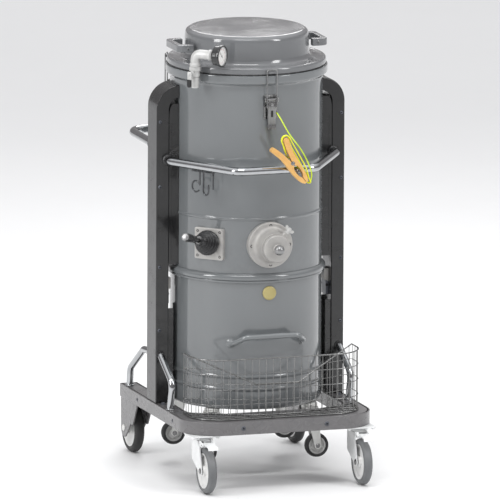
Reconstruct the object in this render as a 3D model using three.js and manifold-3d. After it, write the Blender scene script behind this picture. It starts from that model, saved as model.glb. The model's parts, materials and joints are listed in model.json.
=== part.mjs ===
// A compressed-air industrial vacuum: a filter drum between two columns on a wheeled frame,
// with a drop-down dust container, a latched lid, an inlet flange and a filter shaker.
// Millimetres, +Z up, the front along -Y, the drum's axis at X = 0.
import * as THREE from "three";
import { mergeVertices } from "three/addons/utils/BufferGeometryUtils.js";
import Module from "manifold-3d";

const wasm = await Module();
wasm.setup();

// ---- Clearances ----
const CLEAR = 0.3;
const RUN = 0.8;
const GRIP_GAP = 3;

// ---- Drum and container ----
const DRUM_R = 230;
const SHEET = 2.5;
const BEAD = 1.5;
const COLLAR = 14.5;
const COLLAR_HEIGHT = 25;
const CHAMBER_HEIGHT = 606;
const SEAM_HEIGHT = 166;
const INLET_HEIGHT = 88;
const RING_HEIGHT = 20;
const RING_REACH = 11;
const BIN_HEIGHT = 398;
const BIN_BEADS = [63, 101];
const BIN_RIM = 8;
const BIN_CASTER_DROP = 169;
const SEAL_HEIGHT = 4;
const LID_HEIGHT = 104;
const LID_TOP_R = DRUM_R - 44;
const LID_SIDE_R = DRUM_R - 40;
const LID_SKIRT = 18;
const LID_SHEET = 3;
const DRUM_SIDES = 36;

// ---- Wheeled frame ----
const DECK_UNDERSIDE = 174;
const DECK_DEPTH = 40;
const DECK_SHEET = 4;
const COLUMN_GAP = 28;
const COLUMN_THICK = 40;
const DECK_MARGIN = 2;
const LEG_GAP = 15;
const DECK_REACH = 161;
const MEMBER_GAP = 20;
const DECK_TAIL = 71;
const DECK_CORNER_R = 115;
const DECK_INNER_R = 80;

// ---- Wheels and casters ----
const REAR_WHEEL_R = 75;
const REAR_WHEEL_WIDTH = 32;
const REAR_WHEEL_SETBACK = 70;
const REAR_AXLE_R = 8;
const FORK_PLATE = 4;
const FORK_INSET = 13;
const FORK_GAP = 9;
const FORK_REACH = 129;
const FORK_TAIL = 32;
const FORK_ROOF = 8;
const FRONT = { wheelR: 70, width: 28, trail: 44, headR: 34, headHeight: 12, leg: 3.5, axleR: 6, sides: 20 };
const FRONT_INSET = 54;
const FRONT_SETBACK = 51;
const BIN_CASTER = { wheelR: 37, width: 22, trail: 22, headR: 24, headHeight: 9, leg: 2.5, axleR: 4, sides: 16 };
const BIN_CASTER_AT = 155;

// ---- Columns and tubes ----
const COLUMN_DEPTH = 90;
const COLUMN_WALL = 3;
const COLUMN_TOP_GAP = 25;
const COLUMN_BEND_R = 75;
const GUIDE_GAP = 11;
const GUIDE_SHEET = 3;
const GUIDE_INSET = 5;
const GUIDE_CLEAR = 108;
const COVER_HEIGHT = CHAMBER_HEIGHT - 116;
const COVER_RISE = 8;
const BRACE_R = 10.5;
const BRACE_INSET = 15;
const BAR_R = 13;
const GRAB_HEIGHT = 328;
const GRAB_REACH = 67.5;
const GRAB_FLAT = 121.5;
const PUSH_HEIGHT = 363;
const PUSH_REACH = 60;
const HOOK_WIRE_R = 2.5;

// ---- Basket ----
const BASKET_HEIGHT = 187;
const BASKET_SHEET = 3;
const BASKET_FRONT_INSET = 26;
const BASKET_SIDE_INSET = 31;
const BASKET_BACK = -214;
const BASKET_CORNER_R = 100;
const BASKET_DIP = 88;
const BASKET_DIP_HALF = 67;
const BASKET_MID_GAP = 80;

// ---- Fittings on the drum ----
const LATCH_ANGLES = [0, 120, 240];
const LATCH_PIVOT_DROP = 73;
const LATCH_PIVOT_OUT = 12;
const LATCH_LEVER_LENGTH = 90;
const LATCH_LEVER_WIDTH = 25;
const LATCH_EAR = 3;
const BAIL_R = 1.75;
const BAIL_HALF = LATCH_LEVER_WIDTH / 2 + 3;
const BAIL_OUT = 5.5;
const BAIL_DOWN = 24.4;
const STUD_AT = 17;
const STUD_DROP = 114;
const STUD_LENGTH = 6;
const CATCH_WIDTH = 22;
const CATCH_OVERLAP = 1;
const CATCH_GAP = 1.8;
const FLANGE_R = 70;
const FLANGE_OUT = 12;
const SPIGOT_R = 47;
const SPIGOT_BORE = 35;
const SPIGOT_LENGTH = 48;
const CAP_R = 42;
const CAP_LENGTH = 17;
const CAP_PLUG = 15;
const KNOB_R = 16;
const SCREW_R = 4;
const SHAKER_ANGLE = -46;
const SHAKER_PLATE = 95;
const SHAKER_OUT = 9;
const SHAKER_HOLE_R = 20;
const SHAKER_TILT = 16;
const BOOT_R = 39;
const BOOT_LENGTH = 66;
const SHAKER_ROD_R = 6;
const SHAKER_GRIP_R = 13;
const SHAKER_LENGTH = 172;
const PLUG_R = 21.5;
const PLUG_DROP = 40;
const PLUG_NECK_R = 8;
const FILTER_R = DRUM_R - 50;
const FILTER_LENGTH = 360;
const FILTER_FLANGE_R = DRUM_R - 25;
const FILTER_DROP = 44;
const EJECTOR_R = 55;
const EJECTOR_LENGTH = 70;

const HANDLE_HALF = 112;
const HANDLE_FLAT = 84;
const HANDLE_HEIGHT = 204;
const HANDLE_RISE = 27;
const HANDLE_REACH = 34;
const HANDLE_TUBE_R = 8.5;

// ---- Air fittings on the lid ----
const ELBOW_ANGLE = -53;
const ELBOW_OUT = 40;
const ELBOW_R = 15;
const ELBOW_HEIGHT = 60.5;
const GAUGE_R = 33;
const GAUGE_DEPTH = 32;
const GAUGE_REACH = 62;
const NEEDLE_LEAN = 40;
const TAIL_R = 12;
const TAIL_LENGTH = 33;

// ---- Heights that follow ----
const DECK_TOP = DECK_UNDERSIDE + DECK_DEPTH;
const BIN_TOP = DECK_TOP + BIN_HEIGHT;
const CHAMBER_BASE = BIN_TOP + RING_HEIGHT;
const CHAMBER_TOP = CHAMBER_BASE + CHAMBER_HEIGHT;
const LID_BASE = CHAMBER_TOP + SEAL_HEIGHT;
const LID_TOP = LID_BASE + LID_HEIGHT;
const INLET_Z = CHAMBER_BASE + INLET_HEIGHT;
const GRAB_Z = CHAMBER_BASE + GRAB_HEIGHT;
const COLUMN_TOP = CHAMBER_TOP - COLLAR_HEIGHT - COLUMN_TOP_GAP;

// ---- Widths and depths that follow ----
const COLUMN_IN = DRUM_R + COLUMN_GAP;
const COLUMN_OUT = COLUMN_IN + COLUMN_THICK;
const DECK_HALF = COLUMN_OUT + DECK_MARGIN;
const LEG_IN = DRUM_R + LEG_GAP;
const DECK_FRONT = -(DRUM_R + DECK_REACH);
const MEMBER_BACK = -(DRUM_R + MEMBER_GAP);
const DECK_REAR = DRUM_R + DECK_TAIL;
const REAR_AXLE_Y = DRUM_R + REAR_WHEEL_SETBACK;
const FRONT_SWIVEL_Y = DECK_FRONT + FRONT_SETBACK;
const FRONT_SWIVEL_X = DECK_HALF - FRONT_INSET;
const CUT_R = DRUM_R + BEAD + CLEAR;
const COLLAR_R = DRUM_R + COLLAR;
const HALF_DEPTH = COLUMN_DEPTH / 2;

// ---- Earth clamp and its lead ----
const CLAMP_THICK = 18;
const CLAMP_BACK = -(DRUM_R + GRAB_REACH + BAR_R + 7.5);
const CLAMP_PIVOT = [38, GRAB_Z + 25];
const CLAMP_LEAN = -54.2;

// The lead leaves a stud on the first latch's plate, drapes over the grab bar to the clamp's jaw tip,
// and is wound lengthwise round the upper half. Its places on the clamp are [along, across, Y].
const LEAD_R = 2;
const LEAD_BACK = CLAMP_BACK + 3.7;
const LEAD_DRAPE = [
  [STUD_AT, -(DRUM_R + STUD_LENGTH + CLEAR), CHAMBER_TOP - STUD_DROP],
  [STUD_AT, -(DRUM_R + STUD_LENGTH + CLEAR + 6), CHAMBER_TOP - STUD_DROP],
  [22, -(DRUM_R + 22), CHAMBER_TOP - STUD_DROP - 10],
  [44, -(DRUM_R + 55), GRAB_Z + 104],
  [70, CLAMP_BACK, GRAB_Z + 61],
  [91, CLAMP_BACK - 10, GRAB_Z + 17],
  [100, CLAMP_BACK - 10, GRAB_Z - 13],
];
const LEAD_TURNS = [
  { bulge: 31, layer: 9, back: 4 },
  { bulge: 23, layer: 4.5, back: 9 },
];

// The frame's origin is under the middle of the whole object.
const FRONT_END = FRONT_SWIVEL_Y - FRONT.trail - FRONT.wheelR;
const REAR_END = REAR_AXLE_Y + REAR_WHEEL_R;

const vacuum = new THREE.Group();
vacuum.position.y = -(FRONT_END + REAR_END) / 2;

const FINISH = {
  drum: { color: 0x7e8284, roughness: 0.35, metalness: 0.1 },
  lid: { color: 0x736c70, roughness: 0.4, metalness: 0.1 },
  frame: { color: 0x5c5558, roughness: 0.5, metalness: 0.2 },
  column: { color: 0x2e2e30, roughness: 0.4, metalness: 0.2 },
  chrome: { color: 0xd8dadc, roughness: 0.15, metalness: 1 },
  zinc: { color: 0xdfe0de, roughness: 0.4, metalness: 0.6 },
  rim: { color: 0xe8e8e6, roughness: 0.5, metalness: 0 },
  tyre: { color: 0x2a2a2c, roughness: 0.85, metalness: 0 },
  black: { color: 0x1a1a1b, roughness: 0.7, metalness: 0 },
  cast: { color: 0xafaca8, roughness: 0.55, metalness: 0.8 },
  steel: { color: 0xb9bbbd, roughness: 0.3, metalness: 1 },
  yellow: { color: 0xcfc077, roughness: 0.4, metalness: 0 },
  orange: { color: 0xeba54b, roughness: 0.45, metalness: 0 },
  lead: { color: 0xd7e628, roughness: 0.5, metalness: 0 },
  cloth: { color: 0xe4e2dc, roughness: 0.95, metalness: 0 },
};

// ---- Shape helpers ----
function addPart(name, geometry, finish, parent = vacuum) {
  geometry.computeVertexNormals();
  const part = new THREE.Mesh(geometry, new THREE.MeshStandardMaterial(FINISH[finish]));
  part.name = name;
  parent.add(part);
  return part;
}

function solidOf(geometry) {
  const bare = geometry.clone();
  bare.deleteAttribute("normal");
  bare.deleteAttribute("uv");
  const merged = mergeVertices(bare, 1e-4);
  const data = {
    numProp: 3,
    vertProperties: merged.attributes.position.array,
    triVerts: new Uint32Array(merged.index.array),
  };
  return new wasm.Manifold(new wasm.Mesh(data));
}

function geometryOf(solid) {
  const data = solid.getMesh();
  const geometry = new THREE.BufferGeometry();
  geometry.setAttribute("position", new THREE.BufferAttribute(data.vertProperties, 3));
  geometry.setIndex(new THREE.BufferAttribute(data.triVerts, 1));
  return geometry;
}

function join(...shapes) {
  return geometryOf(shapes.map(solidOf).reduce((whole, piece) => whole.add(piece)));
}

function cut(shape, ...tools) {
  return geometryOf(tools.map(solidOf).reduce((whole, tool) => whole.subtract(tool), solidOf(shape)));
}

function block(x0, x1, y0, y1, z0, z1) {
  const box = new THREE.BoxGeometry(x1 - x0, y1 - y0, z1 - z0);
  return box.translate((x0 + x1) / 2, (y0 + y1) / 2, (z0 + z1) / 2);
}

// A profile of [radius, height] points turned about +Z.
function turned(profile, sides = 24) {
  const points = profile.map(([r, h]) => new THREE.Vector2(r, h));
  if (THREE.ShapeUtils.area(points) < 0) points.reverse();
  const lathe = new THREE.LatheGeometry([...points, points[0].clone()], sides);
  return lathe.rotateX(Math.PI / 2);
}

// The same, turned about -Y, so that the heights run outwards from the drum's front.
function turnedOut(profile, sides = 24) {
  return turned(profile, sides).rotateX(Math.PI / 2);
}

// The profile of a hole through the drum's wall.
function bore(radius) {
  return [[0, DRUM_R - 30], [radius, DRUM_R - 30], [radius, DRUM_R + 30], [0, DRUM_R + 30]];
}

function disc(radius, low, high, sides = 24) {
  return turned([[0, low], [radius, low], [radius, high], [0, high]], sides);
}

function slab(outline, low, high) {
  const shape = new THREE.Shape(outline.map(([x, y]) => new THREE.Vector2(x, y)));
  const plate = new THREE.ExtrudeGeometry(shape, { depth: high - low, bevelEnabled: false });
  return plate.translate(0, 0, low);
}

// An outline in (Y, Z), extruded from x0 to x1.
function slabAlongX(outline, x0, x1) {
  return slab(outline, x0, x1).rotateX(Math.PI / 2).rotateZ(Math.PI / 2);
}

// An outline in (X, Z), extruded from y0 to y1.
function slabAlongY(outline, y0, y1) {
  return slab(outline, -y1, -y0).rotateX(Math.PI / 2);
}

function arc(cx, cy, radius, from, to, steps = 6) {
  const points = [];
  for (let i = 0; i <= steps; i++) {
    const angle = THREE.MathUtils.degToRad(from + ((to - from) * i) / steps);
    points.push([cx + radius * Math.cos(angle), cy + radius * Math.sin(angle)]);
  }
  return points;
}

// A path through chosen stations, so that a swept tube has a ring at each of them and none between.
class Route extends THREE.Curve {
  constructor(stations) {
    super();
    this.stations = stations;
  }

  getPointAt(u, target = new THREE.Vector3()) {
    const place = u * (this.stations.length - 1);
    const index = Math.min(Math.floor(place + 1e-9), this.stations.length - 2);
    return target.copy(this.stations[index]).lerp(this.stations[index + 1], place - index);
  }

  getTangentAt(u, target = new THREE.Vector3()) {
    const last = this.stations.length - 1;
    const index = Math.round(u * last);
    const here = this.stations[index];
    target.set(0, 0, 0);
    if (index > 0) target.add(here.clone().sub(this.stations[index - 1]).normalize());
    if (index < last) target.add(this.stations[index + 1].clone().sub(here).normalize());
    return target.normalize();
  }
}

function roundedStations(points, bend, steps) {
  const corners = points.map((p) => new THREE.Vector3(...p));
  const stations = [corners[0]];
  for (let i = 1; i < corners.length - 1; i++) {
    const back = corners[i - 1].clone().sub(corners[i]);
    const ahead = corners[i + 1].clone().sub(corners[i]);
    const trim = bend / Math.tan(back.angleTo(ahead) / 2);
    const reach = Math.min(trim, back.length() * 0.45, ahead.length() * 0.45);
    const start = corners[i].clone().add(back.setLength(reach));
    const end = corners[i].clone().add(ahead.setLength(reach));
    const curve = new THREE.QuadraticBezierCurve3(start, corners[i], end);
    stations.push(...curve.getPoints(steps));
  }
  return [...stations, corners[corners.length - 1]];
}

function sweep(stations, radius, sides) {
  const ring = arc(0, 0, radius, 0, 360 - 360 / sides, sides - 1);
  const shape = new THREE.Shape(ring.map(([x, y]) => new THREE.Vector2(x, y)));
  const options = { steps: stations.length - 1, bevelEnabled: false, extrudePath: new Route(stations) };
  return new THREE.ExtrudeGeometry(shape, options);
}

function tube(points, radius, { bend = 40, steps = 5, sides = 12 } = {}) {
  return sweep(roundedStations(points, bend, steps), radius, sides);
}

function rod(from, to, radius, sides = 16) {
  return sweep([new THREE.Vector3(...from), new THREE.Vector3(...to)], radius, sides);
}

// A group turned about the drum's axis, so that its -Y points out of the drum at that angle.
function aroundDrum(degrees) {
  const group = new THREE.Group();
  group.rotation.z = THREE.MathUtils.degToRad(degrees);
  vacuum.add(group);
  return group;
}

function onBothSides(make) {
  for (const [side, sign] of [["left", -1], ["right", 1]]) make(side, sign);
}

// ---- The wheeled frame ----
function deckOutline(inset) {
  const outer = DECK_HALF - inset;
  const inner = LEG_IN + inset;
  const rear = DECK_REAR - inset;
  const cornerX = DECK_HALF - DECK_CORNER_R;
  const cornerY = DECK_FRONT + DECK_CORNER_R;
  const innerX = LEG_IN - DECK_INNER_R;
  const innerY = MEMBER_BACK + DECK_INNER_R;
  const cornerR = DECK_CORNER_R - inset;
  const innerR = DECK_INNER_R + inset;
  return [
    [-outer, rear],
    ...arc(-cornerX, cornerY, cornerR, 180, 270, 8),
    ...arc(cornerX, cornerY, cornerR, 270, 360, 8),
    [outer, rear],
    [inner, rear],
    ...arc(innerX, innerY, innerR, 360, 270, 6),
    ...arc(-innerX, innerY, innerR, 270, 180, 6),
    [-inner, rear],
  ];
}

function rearWheelX() {
  return DECK_HALF - FORK_INSET - FORK_PLATE - FORK_GAP - REAR_WHEEL_WIDTH / 2;
}

// The right fork: an outer and an inner plate under a roof, with the axle through both.
function rearFork() {
  const low = DECK_UNDERSIDE - CLEAR - 2;
  const front = REAR_AXLE_Y - FORK_REACH;
  const plate = [
    [front, low + FORK_ROOF],
    [front + 2, low - 6],
    [REAR_AXLE_Y - 81, REAR_WHEEL_R + 17],
    ...arc(REAR_AXLE_Y, REAR_WHEEL_R, 28, 230, 350, 6),
    [REAR_AXLE_Y + FORK_TAIL, low + FORK_ROOF],
  ];
  const innerX = rearWheelX() - REAR_WHEEL_WIDTH / 2 - 2 * GRIP_GAP;
  const outerX = DECK_HALF - FORK_INSET;
  const outer = slabAlongX(plate, outerX - FORK_PLATE, outerX);
  const inner = slabAlongX(plate, innerX, innerX + FORK_PLATE);
  const roof = block(innerX, DECK_HALF, front, REAR_AXLE_Y + FORK_TAIL, low, low + FORK_ROOF);
  const axle = rod([innerX, REAR_AXLE_Y, REAR_WHEEL_R], [outerX + 4, REAR_AXLE_Y, REAR_WHEEL_R], REAR_AXLE_R);
  return join(outer, inner, roof, axle);
}

// The same shape on the machine's left.
function mirrored(geometry) {
  const flipped = geometry.clone().scale(-1, 1, 1);
  const index = flipped.index.array;
  for (let i = 0; i < index.length; i += 3) {
    const kept = index[i];
    index[i] = index[i + 1];
    index[i + 1] = kept;
  }
  return flipped;
}

function makeChassis() {
  const shell = slab(deckOutline(0), DECK_UNDERSIDE, DECK_TOP);
  const hollow = slab(deckOutline(DECK_SHEET), DECK_UNDERSIDE - 1, DECK_TOP - DECK_SHEET);
  const fork = rearFork();
  const frame = join(cut(shell, hollow), fork, mirrored(fork));
  addPart("chassis_frame", frame, "frame");
}

function wheelProfile(radius, width, bore) {
  const half = width / 2;
  const round = width * 0.22;
  return [
    [bore, -half],
    [radius - round, -half],
    [radius, -half + round],
    [radius, half - round],
    [radius - round, half],
    [bore, half],
  ];
}

function wheel(radius, width, bore, sides) {
  return turned(wheelProfile(radius, width, bore), sides).rotateY(Math.PI / 2);
}

function makeRearWheels() {
  onBothSides((side, sign) => {
    const shape = wheel(REAR_WHEEL_R, REAR_WHEEL_WIDTH, REAR_AXLE_R + RUN, 24);
    const part = addPart("rear_wheel_" + side, shape, "tyre");
    part.position.set(sign * rearWheelX(), REAR_AXLE_Y, REAR_WHEEL_R);
  });
}

// A caster about its own swivel axis, with its wheel trailing along -Y and its axle at axleZ.
function casterFork(size, top, axleZ) {
  const reach = size.width / 2 + GRIP_GAP;
  const headLow = top - size.headHeight;
  const leg = [
    [size.headR * 0.9, headLow],
    [-size.headR * 0.9, headLow],
    ...arc(-size.trail, axleZ, size.axleR + 6, 180, 360, 4),
  ];
  const wide = reach + size.leg;
  const crown = block(-wide, wide, -size.headR * 0.9, size.headR * 0.9, headLow - size.leg, headLow + 1);
  const left = slabAlongX(leg, -reach - size.leg, -reach);
  const right = slabAlongX(leg, reach, reach + size.leg);
  const head = disc(size.headR, headLow - 1, top, 16);
  const out = reach + size.leg + 2;
  const axle = rod([-out, -size.trail, axleZ], [out, -size.trail, axleZ], size.axleR, 8);
  return { crown, left, right, head, axle };
}

function joinFork(size, top, axleZ, ...extras) {
  const { crown, left, right, head, axle } = casterFork(size, top, axleZ);
  return join(crown, left, right, head, axle, ...extras);
}

function makeFrontCasters() {
  const top = DECK_UNDERSIDE - CLEAR;
  const pedalY = -FRONT.trail - 12;
  const pedalZ = FRONT.wheelR * 2 + 11;
  const half = FRONT.width / 2 + GRIP_GAP - RUN;
  const pin = rod([-half - 3, pedalY, pedalZ], [half + 3, pedalY, pedalZ], 2.5, 10);
  const arm = [
    [-FRONT.headR * 0.9 + 4, top - FRONT.headHeight],
    [-FRONT.headR * 0.9 + 4, pedalZ - 3],
    [pedalY - 6, pedalZ - 6],
    [pedalY - 6, pedalZ + 6],
  ];
  const armIn = FRONT.width / 2 + GRIP_GAP;
  const arms = [slabAlongX(arm, -armIn - FRONT.leg, -armIn), slabAlongX(arm, armIn, armIn + FRONT.leg)];
  const fork = joinFork(FRONT, top, FRONT.wheelR, pin, ...arms);
  const pedal = cut(
    join(
      rod([-half, pedalY, pedalZ], [half, pedalY, pedalZ], 6, 16),
      slabAlongX([[pedalY, pedalZ + 6], [pedalY - 52, pedalZ + 2], [pedalY - 56, pedalZ - 8],
        [pedalY - 52, pedalZ - 8], [pedalY - 48, pedalZ - 2], [pedalY, pedalZ + 2]], -half, half),
    ),
    rod([-half - 1, pedalY, pedalZ], [half + 1, pedalY, pedalZ], 2.5 + RUN / 2, 10),
  );
  onBothSides((side, sign) => {
    const corner = new THREE.Group();
    corner.position.set(sign * FRONT_SWIVEL_X, FRONT_SWIVEL_Y, 0);
    vacuum.add(corner);
    addPart("caster_fork_" + side, fork.clone(), "zinc", corner);
    addPart("brake_pedal_" + side, pedal.clone(), "zinc", corner);
    const shape = wheel(FRONT.wheelR, FRONT.width, FRONT.axleR + RUN, FRONT.sides);
    const part = addPart("caster_wheel_" + side, shape, "rim", corner);
    part.position.set(0, -FRONT.trail, FRONT.wheelR);
  });
}

// ---- Columns, covers and bent tubes ----
function braceStations(sign) {
  const x = sign * (COLUMN_OUT - BRACE_INSET);
  const foot = DECK_TOP + CLEAR;
  return [
    [x, -HALF_DEPTH - 97, foot],
    [x, -HALF_DEPTH - 121, foot + 83],
    [x, -HALF_DEPTH, foot + 149],
    [x, HALF_DEPTH + 72, foot + 137],
    [x, HALF_DEPTH + 205, foot + 54],
    [x, HALF_DEPTH + 210, foot],
  ];
}

function columnOutline(inset, base) {
  const out = COLUMN_OUT - inset;
  const inner = COLUMN_IN + inset;
  const bendX = COLUMN_OUT - COLUMN_BEND_R;
  const bendZ = COLUMN_TOP - COLUMN_BEND_R;
  const near = bendX - 20;
  return [
    [inner, base],
    [out, base],
    ...arc(bendX, bendZ, COLUMN_BEND_R - inset, 0, 90, 8),
    [near + inset, COLUMN_TOP - inset],
    [near + inset, COLUMN_TOP - COLUMN_THICK + inset],
    ...arc(bendX, bendZ, COLUMN_BEND_R - COLUMN_THICK + inset, 90, 0, 6),
  ];
}

// The guide strips at the front and back of the right column's inner face, which keep the container centred.
function guideStrips(base) {
  const near = DRUM_R + GUIDE_GAP;
  const top = BIN_TOP - GUIDE_CLEAR;
  const outside = HALF_DEPTH - GUIDE_INSET;
  const inside = outside - GUIDE_SHEET;
  return join(
    block(near, COLUMN_IN + 1, -outside, -inside, base, top),
    block(near, COLUMN_IN + 1, inside, outside, base, top),
  );
}

function makeColumns() {
  const base = DECK_TOP + CLEAR;
  const shell = slabAlongY(columnOutline(0, base), -HALF_DEPTH, HALF_DEPTH);
  const hollow = slabAlongY(columnOutline(COLUMN_WALL, base - 1), -HALF_DEPTH + COLUMN_WALL,
    HALF_DEPTH - COLUMN_WALL);
  const drum = disc(CUT_R, base, COLUMN_TOP + 1, DRUM_SIDES);
  const passage = tube(braceStations(1), BRACE_R + 2 * CLEAR, { steps: 3, sides: 10 });
  const column = join(cut(shell, hollow, drum, passage), guideStrips(base));
  addPart("column_right", column, "column");
  addPart("column_left", mirrored(column), "column");
}

function makeColumnCovers() {
  const low = CHAMBER_BASE + COVER_RISE;
  const high = low + COVER_HEIGHT;
  const face = COLUMN_IN - CLEAR;
  const near = DRUM_R - 10;
  const round = 30;
  const outline = [[near, low], [face, low], ...arc(face - round, high - round, round, 0, 90, 5), [near, high]];
  const depth = HALF_DEPTH - 2;
  const body = slabAlongY(outline, -depth, depth);
  const hollow = block(near - 1, face - COLUMN_WALL, -depth + COLUMN_WALL, depth - COLUMN_WALL,
    low + COLUMN_WALL, high - round);
  const cover = cut(body, hollow, disc(CUT_R, low - 1, high + 1, DRUM_SIDES));
  addPart("column_cover_right", cover, "column");
  addPart("column_cover_left", mirrored(cover), "column");
}

function makeBraces() {
  onBothSides((side, sign) => {
    const bent = tube(braceStations(sign), BRACE_R, { steps: 3, sides: 10 });
    const floor = block(-DECK_HALF, DECK_HALF, -DECK_HALF, DECK_HALF, 0, DECK_TOP + CLEAR);
    addPart("brace_tube_" + side, cut(bent, floor), "chrome");
  });
}

function grabStations() {
  const endX = COLUMN_IN + 4;
  const face = -HALF_DEPTH - CLEAR;
  const front = -(DRUM_R + GRAB_REACH);
  return [
    [-endX, face, GRAB_Z],
    [-endX, face - 25, GRAB_Z],
    [-GRAB_FLAT, front, GRAB_Z],
    [GRAB_FLAT, front, GRAB_Z],
    [endX, face - 25, GRAB_Z],
    [endX, face, GRAB_Z],
  ];
}

function makeBars() {
  addPart("grab_bar", tube(grabStations(), BAR_R, { steps: 3, sides: 10 }), "chrome");
  const armX = COLUMN_OUT - 18;
  const face = HALF_DEPTH + CLEAR;
  const back = DRUM_R + PUSH_REACH;
  const height = CHAMBER_BASE + PUSH_HEIGHT;
  const stations = [[-armX, face, height], [-armX, back, height], [armX, back, height], [armX, face, height]];
  addPart("push_bar", tube(stations, BAR_R, { bend: 70, steps: 4, sides: 10 }), "chrome");
}

// Hose hooks: two bent wires on a rail, hung under the slanting part of the grab bar.
function makeHoseHook() {
  const [start, end] = [grabStations()[1], grabStations()[2]];
  const slant = new THREE.Vector3(end[0] - start[0], end[1] - start[1], 0);
  const hook = new THREE.Group();
  hook.position.set((start[0] + end[0]) / 2 - 4, (start[1] + end[1]) / 2 + 2, GRAB_Z - BAR_R - HOOK_WIRE_R - CLEAR);
  hook.rotation.z = Math.atan2(slant.y, slant.x);
  vacuum.add(hook);
  const bendOf = (points, steps) => tube(points, HOOK_WIRE_R, { bend: 14, steps, sides: 6 });
  const rail = rod([-44, 0, 0], [44, 0, 0], HOOK_WIRE_R, 6);
  const loop = bendOf([[-40, 0, 1], [-40, 0, -66], [-8, 0, -66], [-8, 0, -36], [-26, 0, -36], [-26, 0, -52]], 2);
  const crook = bendOf([[14, 0, 1], [14, 0, -72], [40, 0, -72], [40, 0, -50]], 3);
  const pin = rod([4, 0, 1], [4, 0, -30], HOOK_WIRE_R, 6);
  addPart("hose_hook", join(rail, loop, crook, pin), "chrome", hook);
}

// ---- Basket ----
function basketOutline(inset) {
  const half = DECK_HALF - BASKET_SIDE_INSET - inset;
  const front = DECK_FRONT + BASKET_FRONT_INSET + inset;
  const r = BASKET_CORNER_R - inset;
  const cornerX = DECK_HALF - BASKET_SIDE_INSET - BASKET_CORNER_R;
  const cornerY = DECK_FRONT + BASKET_FRONT_INSET + BASKET_CORNER_R;
  const middle = -(DRUM_R + BASKET_MID_GAP);
  return [
    [-half, BASKET_BACK - 1.6 * inset],
    ...arc(-cornerX, cornerY, r, 180, 270, 6),
    ...arc(cornerX, cornerY, r, 270, 360, 6),
    [half, BASKET_BACK - 1.6 * inset],
    [BASKET_DIP_HALF + 0.3 * inset, middle - inset],
    [-BASKET_DIP_HALF - 0.3 * inset, middle - inset],
  ];
}

function makeBasket() {
  const base = DECK_TOP + CLEAR;
  const top = base + BASKET_HEIGHT;
  const dip = top - BASKET_DIP;
  const half = DECK_HALF - BASKET_SIDE_INSET;
  const notch = [[-half, top + 1], [-BASKET_DIP_HALF, dip], [BASKET_DIP_HALF, dip], [half, top + 1]];
  const walls = slab(basketOutline(0), base, top);
  const hollow = slab(basketOutline(BASKET_SHEET), base + BASKET_SHEET, top + 1);
  const middle = -(DRUM_R + BASKET_MID_GAP);
  const back = slabAlongY(notch, middle - 2 * BASKET_SHEET, BASKET_BACK + 1);
  addPart("basket", cut(walls, hollow, back), "chrome");
}

// ---- Filter chamber ----
function ledge(z, inner, thickness) {
  return turned([[inner, z], [DRUM_R - 1, z], [DRUM_R - 1, z + thickness], [inner, z + thickness]], DRUM_SIDES);
}

function chamberProfile() {
  const seam = CHAMBER_BASE + SEAM_HEIGHT;
  const collarLow = CHAMBER_TOP - COLLAR_HEIGHT;
  return [
    [DRUM_R - SHEET, CHAMBER_BASE + CLEAR],
    [DRUM_R, CHAMBER_BASE + CLEAR],
    [DRUM_R, seam - 4],
    [DRUM_R + BEAD, seam - 2],
    [DRUM_R + BEAD, seam + 2],
    [DRUM_R, seam + 4],
    [DRUM_R, collarLow - 6],
    [COLLAR_R, collarLow],
    [COLLAR_R, CHAMBER_TOP],
    [DRUM_R - SHEET, CHAMBER_TOP],
  ];
}

function latchPivot() {
  return { out: DRUM_R + LATCH_PIVOT_OUT, z: CHAMBER_TOP - LATCH_PIVOT_DROP };
}

function latchBase() {
  const { out, z } = latchPivot();
  const inner = BAIL_HALF + BAIL_R + 1.2;
  const ear = [[-DRUM_R + 4, z - 22], [-DRUM_R + 4, z + 12], [-out - 6, z + 6], [-out - 6, z - 6]];
  const plate = block(-inner - LATCH_EAR, inner + LATCH_EAR, -DRUM_R - 2.5, -DRUM_R + 4, z - 60, z + 14);
  const pin = rod([-inner - 1, -out, z], [inner + 1, -out, z], 3, 10);
  return join(plate, slabAlongX(ear, -inner - LATCH_EAR, -inner), slabAlongX(ear, inner, inner + LATCH_EAR), pin);
}

function makeFilterChamber() {
  const shell = join(turned(chamberProfile(), DRUM_SIDES), ledge(CHAMBER_TOP - FILTER_DROP - 4, FILTER_R + 10, 4));
  const inletHole = turnedOut(bore(FLANGE_R - 28));
  inletHole.translate(0, 0, INLET_Z);
  const rodHole = turnedOut(bore(SHAKER_HOLE_R - 2));
  rodHole.translate(0, 0, INLET_Z).rotateZ(THREE.MathUtils.degToRad(SHAKER_ANGLE));
  const bases = LATCH_ANGLES.map((angle) => latchBase().rotateZ(THREE.MathUtils.degToRad(angle)));
  const studZ = CHAMBER_TOP - STUD_DROP;
  const stud = rod([STUD_AT, -DRUM_R, studZ], [STUD_AT, -DRUM_R - STUD_LENGTH, studZ], 4, 8);
  addPart("filter_chamber", cut(join(shell, ...bases, stud), inletHole, rodHole), "drum");
  const ring = [
    [DRUM_R - 8, BIN_TOP + CLEAR],
    [DRUM_R + RING_REACH, BIN_TOP + CLEAR],
    [DRUM_R + RING_REACH, CHAMBER_BASE - 4],
    [DRUM_R + 2, CHAMBER_BASE],
    [DRUM_R - 8, CHAMBER_BASE],
  ];
  addPart("clamp_ring", turned(ring, DRUM_SIDES), "drum");
}

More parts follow.
